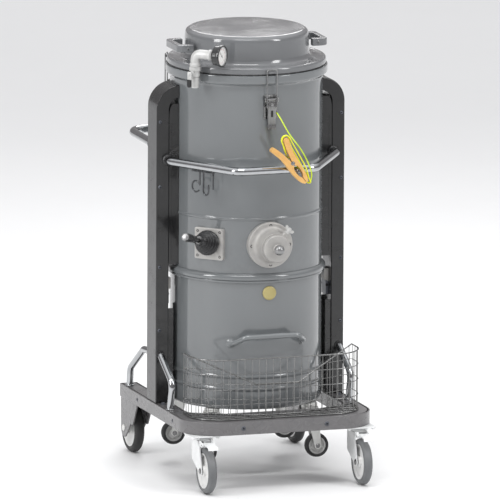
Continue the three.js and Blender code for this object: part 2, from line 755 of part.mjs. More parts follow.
function makeFilter() {
  const top = CHAMBER_TOP - FILTER_DROP + CLEAR;
  const pleats = [];
  const folds = 24;
  for (let i = 0; i < folds; i++) {
    const angle = (2 * Math.PI * i) / folds;
    const step = Math.PI / folds;
    pleats.push([FILTER_R * Math.cos(angle), FILTER_R * Math.sin(angle)]);
    pleats.push([FILTER_R * 0.78 * Math.cos(angle + step), FILTER_R * 0.78 * Math.sin(angle + step)]);
  }
  const bag = slab(pleats, top - FILTER_LENGTH, top + 1);
  addPart("filter_element", join(bag, disc(FILTER_FLANGE_R, top, top + 6, 40)), "cloth");
}

// ---- Dust container ----
function containerProfile() {
  const base = DECK_TOP;
  const rim = BIN_TOP;
  const beads = BIN_BEADS.flatMap((rise) => [
    [DRUM_R, base + rise - 5],
    [DRUM_R + BEAD, base + rise - 2],
    [DRUM_R + BEAD, base + rise + 2],
    [DRUM_R, base + rise + 5],
  ]);
  return [
    [0, base],
    [DRUM_R - 8, base],
    [DRUM_R, base + 8],
    ...beads,
    [DRUM_R, rim - BIN_RIM],
    [DRUM_R + RING_REACH - 3, rim - BIN_RIM],
    [DRUM_R + RING_REACH - 3, rim],
    [DRUM_R - SHEET, rim],
    [DRUM_R - SHEET, base + SHEET],
    [0, base + SHEET],
  ];
}

function makeContainer() {
  const plugZ = BIN_TOP - PLUG_DROP;
  const hole = turnedOut(bore(PLUG_NECK_R + 1), 16).translate(0, 0, plugZ);
  addPart("container", cut(turned(containerProfile(), DRUM_SIDES), hole), "drum");
  const lens = [[0, DRUM_R - 8], [PLUG_NECK_R, DRUM_R - 8], [PLUG_NECK_R, DRUM_R + CLEAR], [PLUG_R, DRUM_R + CLEAR],
    [PLUG_R, DRUM_R + 4], [PLUG_R - 3, DRUM_R + 7], [0, DRUM_R + 7]];
  addPart("sight_plug", turnedOut(lens, 24).translate(0, 0, plugZ), "yellow");
  const wall = -Math.sqrt(DRUM_R ** 2 - HANDLE_HALF ** 2) - 5;
  const z = DECK_TOP + HANDLE_HEIGHT;
  const run = [-HANDLE_FLAT, -(DRUM_R + HANDLE_REACH), z + HANDLE_RISE];
  const bow = [[-HANDLE_HALF, wall, z], [-HANDLE_HALF + 4, wall - 26, z + 6], run,
    [-run[0], run[1], run[2]], [HANDLE_HALF - 4, wall - 26, z + 6], [HANDLE_HALF, wall, z]];
  addPart("container_handle", tube(bow, HANDLE_TUBE_R, { bend: 24, steps: 3, sides: 8 }), "drum");
}

function makeLiftHooks() {
  const face = COLUMN_IN - CLEAR;
  const near = DRUM_R + RING_REACH + 2;
  const low = BIN_TOP - 97;
  const outline = [[face - 4, low], [face, low], [face, low + 80], [near, low + 80], [near, low + 46], [face - 4, low + 40]];
  const hook = slabAlongY(outline, -20, 20);
  addPart("lift_hook_right", hook, "zinc");
  addPart("lift_hook_left", mirrored(join(hook)), "zinc");
}

function makeBinCasters() {
  const top = DECK_TOP - CLEAR;
  const axleZ = DECK_TOP - BIN_CASTER_DROP + BIN_CASTER.wheelR;
  let count = 0;
  for (const [x, y] of [[-1, -1], [1, -1], [1, 1], [-1, 1]]) {
    count += 1;
    const corner = new THREE.Group();
    corner.position.set(x * BIN_CASTER_AT, y * BIN_CASTER_AT, 0);
    corner.rotation.z = (x * Math.PI) / 2;
    vacuum.add(corner);
    addPart("bin_fork_" + count, joinFork(BIN_CASTER, top, axleZ), "zinc", corner);
    const shape = wheel(BIN_CASTER.wheelR, BIN_CASTER.width, BIN_CASTER.axleR + RUN / 2, BIN_CASTER.sides);
    const part = addPart("bin_wheel_" + count, shape, "tyre", corner);
    part.position.set(0, -BIN_CASTER.trail, axleZ);
  }
}

// ---- Lid and what rides on it ----
function lidProfile() {
  const shoulder = LID_BASE + LID_SKIRT;
  const skirtR = COLLAR_R - 5;
  const round = 14;
  return [
    [0, LID_TOP],
    ...arc(LID_TOP_R - round, LID_TOP - round, round, 90, 0, 4),
    [LID_SIDE_R, shoulder + 8],
    [LID_SIDE_R + 6, shoulder + 1],
    [skirtR - 4, shoulder],
    [skirtR, shoulder - 4],
    [skirtR, LID_BASE],
    [skirtR - LID_SHEET, LID_BASE],
    [skirtR - LID_SHEET, shoulder - LID_SHEET - 2],
    [LID_SIDE_R - LID_SHEET, shoulder - LID_SHEET],
    [LID_TOP_R - LID_SHEET, LID_TOP - round],
    [LID_TOP_R - round, LID_TOP - LID_SHEET],
    [0, LID_TOP - LID_SHEET],
  ];
}

function catchBlock() {
  const wireR = latchPivot().out + BAIL_OUT;
  const lip = wireR - BAIL_R + CATCH_OVERLAP;
  const skirtR = COLLAR_R - 5;
  return block(-CATCH_WIDTH / 2, CATCH_WIDTH / 2, -lip, -skirtR + 2, LID_BASE + 3, LID_BASE + 11);
}

function makeLid() {
  const catches = LATCH_ANGLES.map((angle) => catchBlock().rotateZ(THREE.MathUtils.degToRad(angle)));
  addPart("lid", join(turned(lidProfile(), DRUM_SIDES), ...catches), "lid");
  const seal = [
    [DRUM_R - SHEET, CHAMBER_TOP + CLEAR],
    [COLLAR_R - 3, CHAMBER_TOP + CLEAR],
    [COLLAR_R - 3, LID_BASE - CLEAR],
    [DRUM_R - SHEET, LID_BASE - CLEAR],
  ];
  addPart("lid_seal", turned(seal, DRUM_SIDES), "black");
  makeLidHandles();
  const low = LID_TOP - LID_SHEET - CLEAR - EJECTOR_LENGTH;
  const high = LID_TOP - LID_SHEET - CLEAR;
  const nozzle = [[12, low], [EJECTOR_R, low + 12], [EJECTOR_R, high], [12, high]];
  addPart("ejector", turned(nozzle, 24), "cast");
}

function makeLidHandles() {
  const near = LID_SIDE_R - 20;
  const out = LID_SIDE_R + 48;
  const half = 65;
  const outline = [[near, -half], ...arc(out - 16, -half + 16, 16, -90, 0, 4), ...arc(out - 16, half - 16, 16, 0, 90, 4), [near, half]];
  const grip = slab(outline, LID_TOP - 58, LID_TOP - 34);
  const finger = block(near - 1, out - 17, -half + 22, half - 22, LID_TOP - 60, LID_TOP - 30);
  const handle = cut(grip, finger, disc(LID_SIDE_R + CLEAR, LID_BASE, LID_TOP, DRUM_SIDES));
  addPart("lid_handle_right", handle, "lid");
  addPart("lid_handle_left", mirrored(handle), "lid");
}

function elbowPlaces() {
  const angle = THREE.MathUtils.degToRad(ELBOW_ANGLE);
  const reach = DRUM_R + ELBOW_OUT;
  const x = reach * Math.sin(angle);
  const y = -reach * Math.cos(angle);
  return { x, y, z: LID_BASE + ELBOW_HEIGHT };
}

function makeAirLine() {
  const { x, y, z } = elbowPlaces();
  const d = Math.SQRT1_2;
  const along = (t) => [x + d * t, y - d * t, z];
  const valveLow = LID_BASE - 10;
  const bend = tube([[x, y, valveLow + 24], [x, y, z], along(GAUGE_REACH - CLEAR)], ELBOW_R, { bend: 26, steps: 6, sides: 16 });
  const body = disc(ELBOW_R - 1, valveLow, valveLow + 22, 16).translate(x, y, 0);
  const union = disc(ELBOW_R + 4, valveLow + 20, valveLow + 32, 6).translate(x, y, 0);
  const [nx, ny] = along(44);
  const run = Math.hypot(nx, ny) - LID_SIDE_R;
  const nipple = rod([nx, ny, z], [nx + d * (run - 1), ny + d * (run - 1), z], 10, 12);
  const stem = rod([x, y, valveLow + 12], [x + 26 * d * -1.12, y - 26 * d * 0.84, valveLow + 12], 4, 10);
  const lidSide = disc(LID_SIDE_R + CLEAR, LID_BASE, LID_TOP, DRUM_SIDES);
  addPart("air_elbow", cut(join(bend, body, union, nipple, stem), lidSide), "steel");

  const tail = [[7, valveLow - TAIL_LENGTH], [TAIL_R - 1, valveLow - TAIL_LENGTH], [TAIL_R, valveLow - 20],
    [TAIL_R - 1, valveLow - 12], [TAIL_R, valveLow - CLEAR], [7, valveLow - CLEAR]];
  addPart("hose_tail", turned(tail, 16).translate(x, y, 0), "steel");

  const lever = new THREE.Group();
  lever.position.set(x, y, valveLow + 12);
  lever.rotation.z = THREE.MathUtils.degToRad(ELBOW_ANGLE);
  vacuum.add(lever);
  const handle = slabAlongY([[-7, 8], [-6, -40], [6, -40], [7, 8]], -34, -28);
  addPart("valve_lever", cut(join(handle, turnedOut([[0, 22], [8, 22], [8, 30], [0, 30]], 16)),
    turnedOut([[0, 20], [4 + RUN, 20], [4 + RUN, 28.5], [0, 28.5]], 12)), "steel", lever);

  const gauge = new THREE.Group();
  gauge.position.set(...along(GAUGE_REACH));
  gauge.rotation.z = THREE.MathUtils.degToRad(45);
  vacuum.add(gauge);
  const casing = [[0, 0], [GAUGE_R - 3, 0], [GAUGE_R - 2, GAUGE_DEPTH - 8], [GAUGE_R, GAUGE_DEPTH - 8],
    [GAUGE_R, GAUGE_DEPTH], [GAUGE_R - 4, GAUGE_DEPTH], [GAUGE_R - 4, GAUGE_DEPTH - 6], [0, GAUGE_DEPTH - 6]];
  addPart("gauge_case", turnedOut(casing, 24), "black", gauge);
  const face = -(GAUGE_DEPTH - 6 + RUN);
  const needle = join(
    slabAlongY([[-1.6, -7], [1.6, -7], [0.6, 22], [-0.6, 22]], face - 1.2, face)
      .rotateY(-THREE.MathUtils.degToRad(NEEDLE_LEAN)),
    turnedOut([[0, -face], [3, -face], [3, -face + 3], [0, -face + 3]], 12),
  );
  addPart("gauge_needle", needle, "black", gauge);
}

// ---- Toggle latches ----
function makeLatches() {
  const { out, z } = latchPivot();
  const half = LATCH_LEVER_WIDTH / 2;
  const low = z - LATCH_LEVER_LENGTH;
  const leverOutline = [
    [-out + 5, z + 4],
    [-out + 2.5, z - 30],
    [-out + 4, low + 10],
    [-out - 6, low],
    [-out - 8, low + 2],
    [-out - 4, low + 16],
    [-out - 6, z - 18],
    [-out - 9.5, z - BAIL_DOWN],
    [-out - 9, z - 14],
    [-out - 5, z + 4],
    [-out, z + 6],
  ];
  const bailY = -out - BAIL_OUT;
  const bailZ = z - BAIL_DOWN;
  const lever = cut(
    slabAlongX(leverOutline, -half, half),
    rod([-half - 1, -out, z], [half + 1, -out, z], 3 + RUN / 2, 12),
    rod([-half - 1, bailY, bailZ], [half + 1, bailY, bailZ], BAIL_R + RUN / 2, 12),
  );
  const wireZ = LID_BASE + 11 + CATCH_GAP + BAIL_R;
  const loop = [
    [0, bailY, bailZ], [BAIL_HALF, bailY, bailZ], [BAIL_HALF, bailY, wireZ],
    [-BAIL_HALF, bailY, wireZ], [-BAIL_HALF, bailY, bailZ], [0.4, bailY, bailZ],
  ];
  const bail = join(...[tube(loop.slice(0, 4), BAIL_R, { bend: 4, steps: 2, sides: 6 }),
    tube(loop.slice(2), BAIL_R, { bend: 4, steps: 2, sides: 6 })]);
  LATCH_ANGLES.forEach((angle, index) => {
    const place = aroundDrum(angle);
    addPart("latch_lever_" + (index + 1), lever.clone(), "steel", place);
    addPart("latch_bail_" + (index + 1), bail.clone(), "steel", place);
  });
}

// ---- Inlet ----
function makeInlet() {
  const face = DRUM_R + FLANGE_OUT;
  const mouth = face + SPIGOT_LENGTH;
  const body = turnedOut([
    [SPIGOT_BORE, DRUM_R - 15], [FLANGE_R, DRUM_R - 15], [FLANGE_R, face], [SPIGOT_R + 4, face],
    [SPIGOT_R, face + 5], [SPIGOT_R - 3, mouth], [SPIGOT_BORE, mouth],
  ], 28);
  const diag = Math.SQRT1_2;
  const bossY = -(face + SPIGOT_LENGTH * 0.55);
  const ray = (r) => [diag * r, bossY, diag * r];
  const boss = rod(ray(SPIGOT_BORE + 4), ray(SPIGOT_R + 9), 9, 16);
  const drill = rod(ray(SPIGOT_BORE - 4), ray(SPIGOT_R + 12), SCREW_R + RUN / 2, 12);
  const drum = disc(CUT_R, -120, 120, DRUM_SIDES);
  const flange = cut(join(body, boss), drill, drum).translate(0, 0, INLET_Z);
  addPart("inlet_flange", flange, "cast");

  const cap = turnedOut([
    [0, mouth - CAP_PLUG], [SPIGOT_BORE - RUN, mouth - CAP_PLUG], [SPIGOT_BORE - RUN, mouth + CLEAR],
    [CAP_R, mouth + CLEAR], [CAP_R, mouth + CAP_LENGTH - 4], [CAP_R - 5, mouth + CAP_LENGTH],
    [5, mouth + CAP_LENGTH], [5, mouth + CAP_LENGTH + 4],
    ...arc(0, mouth + CAP_LENGTH + 4 + KNOB_R - 1, KNOB_R, -68, 90, 6),
  ], 20);
  addPart("inlet_cap", cap.translate(0, 0, INLET_Z), "cast");

  const screw = join(
    rod(ray(SPIGOT_BORE + 2.5), ray(SPIGOT_R + 30), SCREW_R, 12),
    rod(ray(SPIGOT_R + 9.5), ray(SPIGOT_R + 14), 8, 6),
    rod([diag * (SPIGOT_R + 26) - 12, bossY, diag * (SPIGOT_R + 26) + 12],
      [diag * (SPIGOT_R + 26) + 12, bossY, diag * (SPIGOT_R + 26) - 12], 3.5, 10),
  );
  addPart("inlet_screw", screw.translate(0, 0, INLET_Z), "steel");
}

// ---- Filter shaker ----
function makeShaker() {
  const place = aroundDrum(SHAKER_ANGLE);
  const face = DRUM_R + SHAKER_OUT;
  const half = SHAKER_PLATE / 2;
  const plate = block(-half, half, -face, -(DRUM_R - 20), INLET_Z - half, INLET_Z + half);
  const hole = turnedOut(bore(SHAKER_HOLE_R)).translate(0, 0, INLET_Z);
  const drum = disc(CUT_R, INLET_Z - half - 1, INLET_Z + half + 1, DRUM_SIDES);
  addPart("shaker_plate", cut(plate, hole, drum), "cast", place);

  const tilt = new THREE.Group();
  tilt.position.set(0, -DRUM_R, INLET_Z);
  tilt.rotation.x = -THREE.MathUtils.degToRad(SHAKER_TILT);
  place.add(tilt);
  const start = SHAKER_OUT + 2;
  const ribs = [];
  const count = 4;
  for (let i = 0; i < count; i++) {
    const low = start + 12 + ((BOOT_LENGTH - 14) * i) / count;
    const radius = BOOT_R - 5 - ((BOOT_R - 20) * i) / count;
    ribs.push([radius - 4, low], [radius, low + 5]);
  }
  const boot = [
    [SHAKER_ROD_R + 2, start + 10],
    [BOOT_R - 6, start + 10],
    ...ribs,
    [15, start + BOOT_LENGTH],
    [SHAKER_ROD_R + 2, start + BOOT_LENGTH],
  ];
  const trimmed = cut(turnedOut(boot, 16), block(-60, 60, -SHAKER_OUT - CLEAR, 60, -90, 90)
    .rotateX(THREE.MathUtils.degToRad(SHAKER_TILT)));
  addPart("shaker_boot", trimmed, "black", tilt);
  const lever = turnedOut([
    [0, -18], [SHAKER_ROD_R, -18], [SHAKER_ROD_R, -8], [11, -5], [11, 5], [SHAKER_ROD_R, 8],
    [SHAKER_ROD_R, SHAKER_LENGTH - 72], [SHAKER_GRIP_R - 2, SHAKER_LENGTH - 70],
    [SHAKER_GRIP_R, SHAKER_LENGTH - 40], [SHAKER_GRIP_R, SHAKER_LENGTH - 6],
    [SHAKER_GRIP_R - 4, SHAKER_LENGTH], [0, SHAKER_LENGTH],
  ], 16);
  addPart("shaker_lever", lever, "black", tilt);
}

// ---- Earth clamp and its lead ----
// One half's outline along and across the clamp. The window between the halves shows the spring.
function clampHalf(side) {
  const inner = [[-77, 27], [-75, 18.5], [-60, 13.2], [-38, 6.8], [-22, 4.6], [-6, 0.8], [9, 0.8], [15, 7.5],
    [30, 9], [46, 7], [56, 0.8], [74, 0.8]];
  const outer = side > 0
    ? [[75, 5], [63, 13], [38, 15.4], [12, 18.2], [-12, 19], [-32, 21.5], [-72, 33]]
    : [[75, 6], [64, 14.5], [38, 19.5], [14, 21.5], [-12, 21.5], [-34, 23.5], [-72, 34]];
  return [...inner, ...outer].map(([s, n]) => [s, n * side]);
}

function makeClamp() {
  const place = new THREE.Group();
  place.position.set(CLAMP_PIVOT[0], 0, CLAMP_PIVOT[1]);
  place.rotation.y = -THREE.MathUtils.degToRad(CLAMP_LEAN);
  vacuum.add(place);
  const front = CLAMP_BACK - CLAMP_THICK;
  const pin = slabAlongY(arc(0, 0, 5, 0, 330, 11), front, CLAMP_BACK);
  const hole = slabAlongY(arc(0, 0, 5 + RUN / 2, 0, 330, 11), front - 1, CLAMP_BACK + 1);
  const upper = join(slabAlongY(clampHalf(1), front, CLAMP_BACK), pin);
  const lower = cut(slabAlongY(clampHalf(-1).reverse(), front, CLAMP_BACK), hole);
  addPart("clamp_half_upper", upper, "orange", place);
  addPart("clamp_half_lower", lower, "orange", place);
}

function leadTurn({ bulge, layer, back }) {
  const y = CLAMP_BACK - layer;
  return [
    [83, 11, y],
    [83, 5, LEAD_BACK - 4],
    [70, 4 + back * 0.5, LEAD_BACK],
    [40, 4 + back, LEAD_BACK],
    [5, 4 + back, LEAD_BACK],
    [-20, 1, LEAD_BACK],
    [-38, 2.5, y],
    [-60, 9.5, y],
    [-75, 14, y],
    [-82, 25, y],
    [-76, 37, y],
    [-40, bulge + 4, y],
    [0, bulge, y],
    [38, bulge - 5, y],
    [68, 16, y],
  ];
}

function makeLead() {
  const lean = THREE.MathUtils.degToRad(CLAMP_LEAN);
  const onClamp = ([s, n, y]) => [
    CLAMP_PIVOT[0] + s * Math.cos(lean) - n * Math.sin(lean),
    y,
    CLAMP_PIVOT[1] + s * Math.sin(lean) + n * Math.cos(lean),
  ];
  const end = [[83, 11, CLAMP_BACK - 14], [83, 6, LEAD_BACK - 4], [70, 9, LEAD_BACK], [40, 17, LEAD_BACK],
    [6, 18, LEAD_BACK], [-16, 14, LEAD_BACK]];
  const wound = [...LEAD_TURNS.flatMap(leadTurn), ...end].map(onClamp);
  const route = [...LEAD_DRAPE, ...wound].map((point) => new THREE.Vector3(...point));
  const curve = new THREE.CatmullRomCurve3(route.slice(1), false, "centripetal");
  addPart("earth_lead", sweep([route[0], ...curve.getSpacedPoints(70)], LEAD_R, 8), "lead");
}

makeChassis();
makeRearWheels();
makeFrontCasters();
makeColumns();
makeColumnCovers();
makeBraces();
makeBars();
makeHoseHook();
makeBasket();
makeFilterChamber();
makeFilter();
makeContainer();
makeLiftHooks();
makeBinCasters();
makeLid();
makeAirLine();
makeLatches();
makeInlet();
makeShaker();
makeClamp();
makeLead();

export default vacuum;
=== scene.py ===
"""Visual model of a compressed-air industrial vacuum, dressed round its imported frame.

Sizes are in millimetres in the machine's own frame: +X to its right, -Y to its front, +Z up.
"""
import json
import logging
import math
from dataclasses import dataclass
from enum import Enum
from typing import Callable, Iterable, Sequence

import bmesh
import bpy
from mathutils import Matrix, Vector

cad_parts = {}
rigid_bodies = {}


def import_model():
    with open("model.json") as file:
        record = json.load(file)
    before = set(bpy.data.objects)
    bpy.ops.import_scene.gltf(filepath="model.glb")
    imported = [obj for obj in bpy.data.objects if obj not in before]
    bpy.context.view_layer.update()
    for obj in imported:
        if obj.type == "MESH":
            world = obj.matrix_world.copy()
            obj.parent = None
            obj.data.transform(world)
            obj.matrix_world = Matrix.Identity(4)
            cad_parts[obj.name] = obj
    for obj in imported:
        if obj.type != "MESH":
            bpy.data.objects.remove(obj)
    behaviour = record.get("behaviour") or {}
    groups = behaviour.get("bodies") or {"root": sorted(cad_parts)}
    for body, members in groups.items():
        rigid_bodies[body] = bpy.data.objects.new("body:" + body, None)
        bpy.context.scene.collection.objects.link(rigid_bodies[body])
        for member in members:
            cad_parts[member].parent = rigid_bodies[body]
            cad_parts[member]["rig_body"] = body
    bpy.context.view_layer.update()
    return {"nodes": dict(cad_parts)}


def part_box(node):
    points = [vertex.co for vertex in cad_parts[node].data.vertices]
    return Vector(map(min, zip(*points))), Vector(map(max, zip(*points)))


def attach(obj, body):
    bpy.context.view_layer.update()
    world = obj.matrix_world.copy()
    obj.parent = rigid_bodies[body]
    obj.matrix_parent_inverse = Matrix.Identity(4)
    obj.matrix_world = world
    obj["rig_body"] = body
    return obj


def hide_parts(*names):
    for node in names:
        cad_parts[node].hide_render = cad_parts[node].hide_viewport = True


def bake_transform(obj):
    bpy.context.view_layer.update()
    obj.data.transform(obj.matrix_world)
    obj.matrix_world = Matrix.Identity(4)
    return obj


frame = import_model()

LOG = logging.getLogger("vacuum")
Point = tuple[float, float, float]
Pair = tuple[float, float]
Colour = tuple[float, float, float]
TO_METRES = 0.001


def low_high(node: str) -> tuple[Vector, Vector]:
    """The lowest and highest corners of a frame node, in millimetres."""
    low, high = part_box(node)
    return low / TO_METRES, high / TO_METRES


@dataclass(frozen=True)
class Datum:
    """Places that every sub-assembly shares, read from the frame."""

    axis_y: float
    drum_r: float
    inlet_z: float

    @classmethod
    def from_frame(cls) -> "Datum":
        """Reads the drum's axis, its radius and the inlet's height from the frame's nodes."""
        ring_low, ring_high = low_high("clamp_ring")
        plate_low, plate_high = low_high("shaker_plate")
        return cls(
            axis_y=(ring_low.y + ring_high.y) / 2,
            drum_r=ring_high.x - RING_REACH,
            inlet_z=(plate_low.z + plate_high.z) / 2,
        )


RING_REACH = 11.0
DATUM = Datum.from_frame()


def around(angle: float, z: float = 0.0) -> Matrix:
    """A place on the drum's axis at a height, turned so that -Y points out at that angle.

    Args:
        angle: degrees from the machine's front towards its right.
        z: height above the floor.

    Returns:
        The placing matrix.
    """
    return Matrix.Translation((0, 0, z)) @ Matrix.Rotation(math.radians(angle), 4, "Z")


OUTWARD = Matrix.Rotation(math.radians(90), 4, "X")
SIDEWAYS = Matrix.Rotation(math.radians(90), 4, "Y")
UPRIGHT = Matrix.Identity(4)


def at(x: float, y: float, z: float) -> Matrix:
    """A plain move to a point of the frame."""
    return Matrix.Translation((x, y, z))


def arc(cx: float, cy: float, radius: float, start: float, end: float, steps: int = 8) -> list[Pair]:
    """Points along a round stretch of an outline, from one angle in degrees to another."""
    turn = (end - start) / steps
    angles = [math.radians(start + turn * i) for i in range(steps + 1)]
    return [(cx + radius * math.cos(a), cy + radius * math.sin(a)) for a in angles]


def soften(profile: Sequence[Sequence[float]], steps: int = 3, closed: bool = False) -> list[Pair]:
    """Rounds the corners of an outline.

    Args:
        profile: (a, b) or (a, b, rounding) for each corner.
        steps: how many stretches a rounded corner takes.
        closed: whether the last corner joins the first.

    Returns:
        The outline with each marked corner turned into a curve.
    """
    points = [Vector((p[0], p[1])) for p in profile]
    count = len(points)
    out: list[Pair] = []
    for i, corner in enumerate(profile):
        here = points[i]
        rounding = corner[2] if len(corner) > 2 else 0.0
        if rounding <= 0 or (not closed and i in (0, count - 1)):
            out.append((here.x, here.y))
            continue
        back = points[i - 1] - here
        ahead = points[(i + 1) % count] - here
        start = here + back.normalized() * min(rounding, back.length * 0.48)
        end = here + ahead.normalized() * min(rounding, ahead.length * 0.48)
        for k in range(steps + 1):
            t = k / steps
            spot = start * (1 - t) ** 2 + here * (2 * t * (1 - t)) + end * t**2
            out.append((spot.x, spot.y))
    return out


def rounded(points: Sequence[Point], bend: float, steps: int = 10) -> list[Vector]:
    """A bar's centre line through its corners, with each corner bent round."""
    corners = [Vector(p) for p in points]
    line = [corners[0]]
    for i in range(1, len(corners) - 1):
        back = corners[i - 1] - corners[i]
        ahead = corners[i + 1] - corners[i]
        trim = bend / math.tan(back.angle(ahead) / 2)
        reach = min(trim, back.length * 0.45, ahead.length * 0.45)
        start = corners[i] + back.normalized() * reach
        end = corners[i] + ahead.normalized() * reach
        for k in range(steps + 1):
            t = k / steps
            line.append(start * (1 - t) ** 2 + corners[i] * (2 * t * (1 - t)) + end * t**2)
    return [*line, corners[-1]]


def smooth_line(points: Sequence[Vector], steps: int = 6) -> list[Vector]:
    """A smooth curve through every point, as a cord takes."""
    line: list[Vector] = []
    padded = [points[0] * 2 - points[1], *points, points[-1] * 2 - points[-2]]
    for i in range(1, len(padded) - 2):
        p0, p1, p2, p3 = padded[i - 1 : i + 3]
        t1 = max((p1 - p0).length, 1e-6) ** 0.5
        t2 = t1 + max((p2 - p1).length, 1e-6) ** 0.5
        t3 = t2 + max((p3 - p2).length, 1e-6) ** 0.5
        for k in range(steps):
            t = t1 + (t2 - t1) * k / steps
            a1 = p0 * ((t1 - t) / t1) + p1 * (t / t1)
            a2 = p1 * ((t2 - t) / (t2 - t1)) + p2 * ((t - t1) / (t2 - t1))
            a3 = p2 * ((t3 - t) / (t3 - t2)) + p3 * ((t - t2) / (t3 - t2))
            b1 = a1 * ((t2 - t) / t2) + a2 * (t / t2)
            b2 = a2 * ((t3 - t) / (t3 - t1)) + a3 * ((t - t1) / (t3 - t1))
            line.append(b1 * ((t2 - t) / (t2 - t1)) + b2 * ((t - t1) / (t2 - t1)))
    return [*line, points[-1]]


class Shape:
    """A mesh in the making: solids are added to it one by one, each with a finish."""

    def __init__(self) -> None:
        """Starts empty."""
        self.verts: list[Vector] = []
        self.faces: list[tuple[int, ...]] = []
        self.marks: list[int] = []

    def add(self, verts: Iterable[Vector], faces: Iterable[Sequence[int]], place: Matrix,
            mark: int) -> "Shape":
        """Adds a solid's vertices and faces at a place, with the number of its finish."""
        base = len(self.verts)
        self.verts += [place @ Vector(v) for v in verts]
        for face in faces:
            self.faces.append(tuple(base + i for i in face))
            self.marks.append(mark)
        return self

    def turned(
        self, profile: Sequence[Sequence[float]], place: Matrix = UPRIGHT, sides: int = 48, mark: int = 0,
        steps: int = 3,
    ) -> "Shape":
        """Adds a solid of revolution about its own +Z.

        Args:
            profile: (radius, height) or (radius, height, rounding) points. It starts and ends on the axis,
                or else closes on itself.
            place: where the solid's own axes go.
            sides: how many stretches make the circle.
            mark: the number of its finish.
            steps: how many stretches a rounded corner takes.

        Returns:
            The shape, so that calls can be chained.
        """
        open_ended = profile[0][0] < 1e-6 and profile[-1][0] < 1e-6
        outline = soften(profile, steps, closed=not open_ended)
        verts: list[Vector] = []
        rings: list[list[int]] = []
        for r, h in outline:
            if r < 1e-6:
                rings.append([len(verts)])
                verts.append(Vector((0, 0, h)))
                continue
            rings.append(list(range(len(verts), len(verts) + sides)))
            for k in range(sides):
                a = 2 * math.pi * k / sides
                verts.append(Vector((r * math.cos(a), r * math.sin(a), h)))
        faces: list[tuple[int, ...]] = []
        spans = range(len(rings) - 1) if open_ended else range(len(rings))
        for i in spans:
            low, high = rings[i], rings[(i + 1) % len(rings)]
            for k in range(sides):
                n = (k + 1) % sides
                if len(low) == 1 and len(high) == 1:
                    continue
                if len(low) == 1:
                    faces.append((low[0], high[n], high[k]))
                elif len(high) == 1:
                    faces.append((low[k], low[n], high[0]))
                else:
                    faces.append((low[k], low[n], high[n], high[k]))
        return self.add(verts, faces, place, mark)

    def bar(
        self, line: Sequence[Vector], radius: float, sides: int = 16, place: Matrix = UPRIGHT, mark: int = 0,
        closed: bool = False, stripe: int = 0,
    ) -> "Shape":
        """Adds a round bar along a line, with flat ends, or as a closed ring.

        Args:
            line: the bar's centre line.
            radius: the bar's radius.
            sides: how many flats make it round.
            place: where the line's own axes go.
            mark: the number of its finish.
            closed: whether the line's end joins its start.
            stripe: how many of its sides take the next finish, as a stripe.

        Returns:
            The shape.
        """
        spots = [Vector(p) for p in line]
        count = len(spots)
        verts: list[Vector] = []
        side = None
        for i, spot in enumerate(spots):
            back = spots[i] - spots[i - 1] if i or closed else Vector()
            ahead = spots[(i + 1) % count] - spot if i < count - 1 or closed else Vector()
            heading = (back.normalized() + ahead.normalized()).normalized()
            if side is None:
                guess = Vector((0, 0, 1)) if abs(heading.z) < 0.9 else Vector((1, 0, 0))
                side = guess.cross(heading).normalized()
            side = (side - heading * side.dot(heading)).normalized()
            other = heading.cross(side)
            for k in range(sides):
                a = 2 * math.pi * k / sides
                verts.append(spot + (side * math.cos(a) + other * math.sin(a)) * radius)
        faces: list[tuple[int, ...]] = []
        for i in range(count if closed else count - 1):
            low, high = i * sides, ((i + 1) % count) * sides
            for k in range(sides):
                n = (k + 1) % sides
                faces.append((low + k, low + n, high + n, high + k))
        striped = [n % sides < stripe for n in range(len(faces))]
        if not closed:
            faces.append(tuple(reversed(range(sides))))
            faces.append(tuple((count - 1) * sides + k for k in range(sides)))
        self.add(verts, faces, place, mark)
        first = len(self.marks) - len(faces)
        for n, on_stripe in enumerate(striped):
            self.marks[first + n] += on_stripe
        return self

    def slab(
        self, outline: Sequence[Pair], low: float, high: float, place: Matrix = UPRIGHT, mark: int = 0
    ) -> "Shape":
        """Adds an outline given in its own X and Y, thick from low to high along its own Z."""
        count = len(outline)
        verts = [Vector((x, y, low)) for x, y in outline] + [Vector((x, y, high)) for x, y in outline]
        faces = [tuple(range(count)), tuple(range(count, 2 * count))]
        for i in range(count):
            n = (i + 1) % count
            faces.append((i, n, count + n, count + i))
        return self.add(verts, faces, place, mark)

    def band(
        self, outer: Sequence[Pair], inner: Sequence[Pair], low: float, high: float, place: Matrix = UPRIGHT,
        mark: int = 0,
    ) -> "Shape":
        """Adds a wall between two outlines of as many points, from low to high."""
        count = len(outer)
        loops = [(outer, low), (outer, high), (inner, high), (inner, low)]
        verts = [Vector((x, y, z)) for points, z in loops for x, y in points]
        faces = []
        for k in range(4):
            a, b = k * count, ((k + 1) % 4) * count
            for i in range(count):
                n = (i + 1) % count
                faces.append((a + i, a + n, b + n, b + i))
        return self.add(verts, faces, place, mark)

    def box(self, low: Point, high: Point, place: Matrix = UPRIGHT, mark: int = 0) -> "Shape":
        """Adds a block between two corners."""
        outline = [(low[0], low[1]), (high[0], low[1]), (high[0], high[1]), (low[0], high[1])]
        return self.slab(outline, low[2], high[2], place, mark)

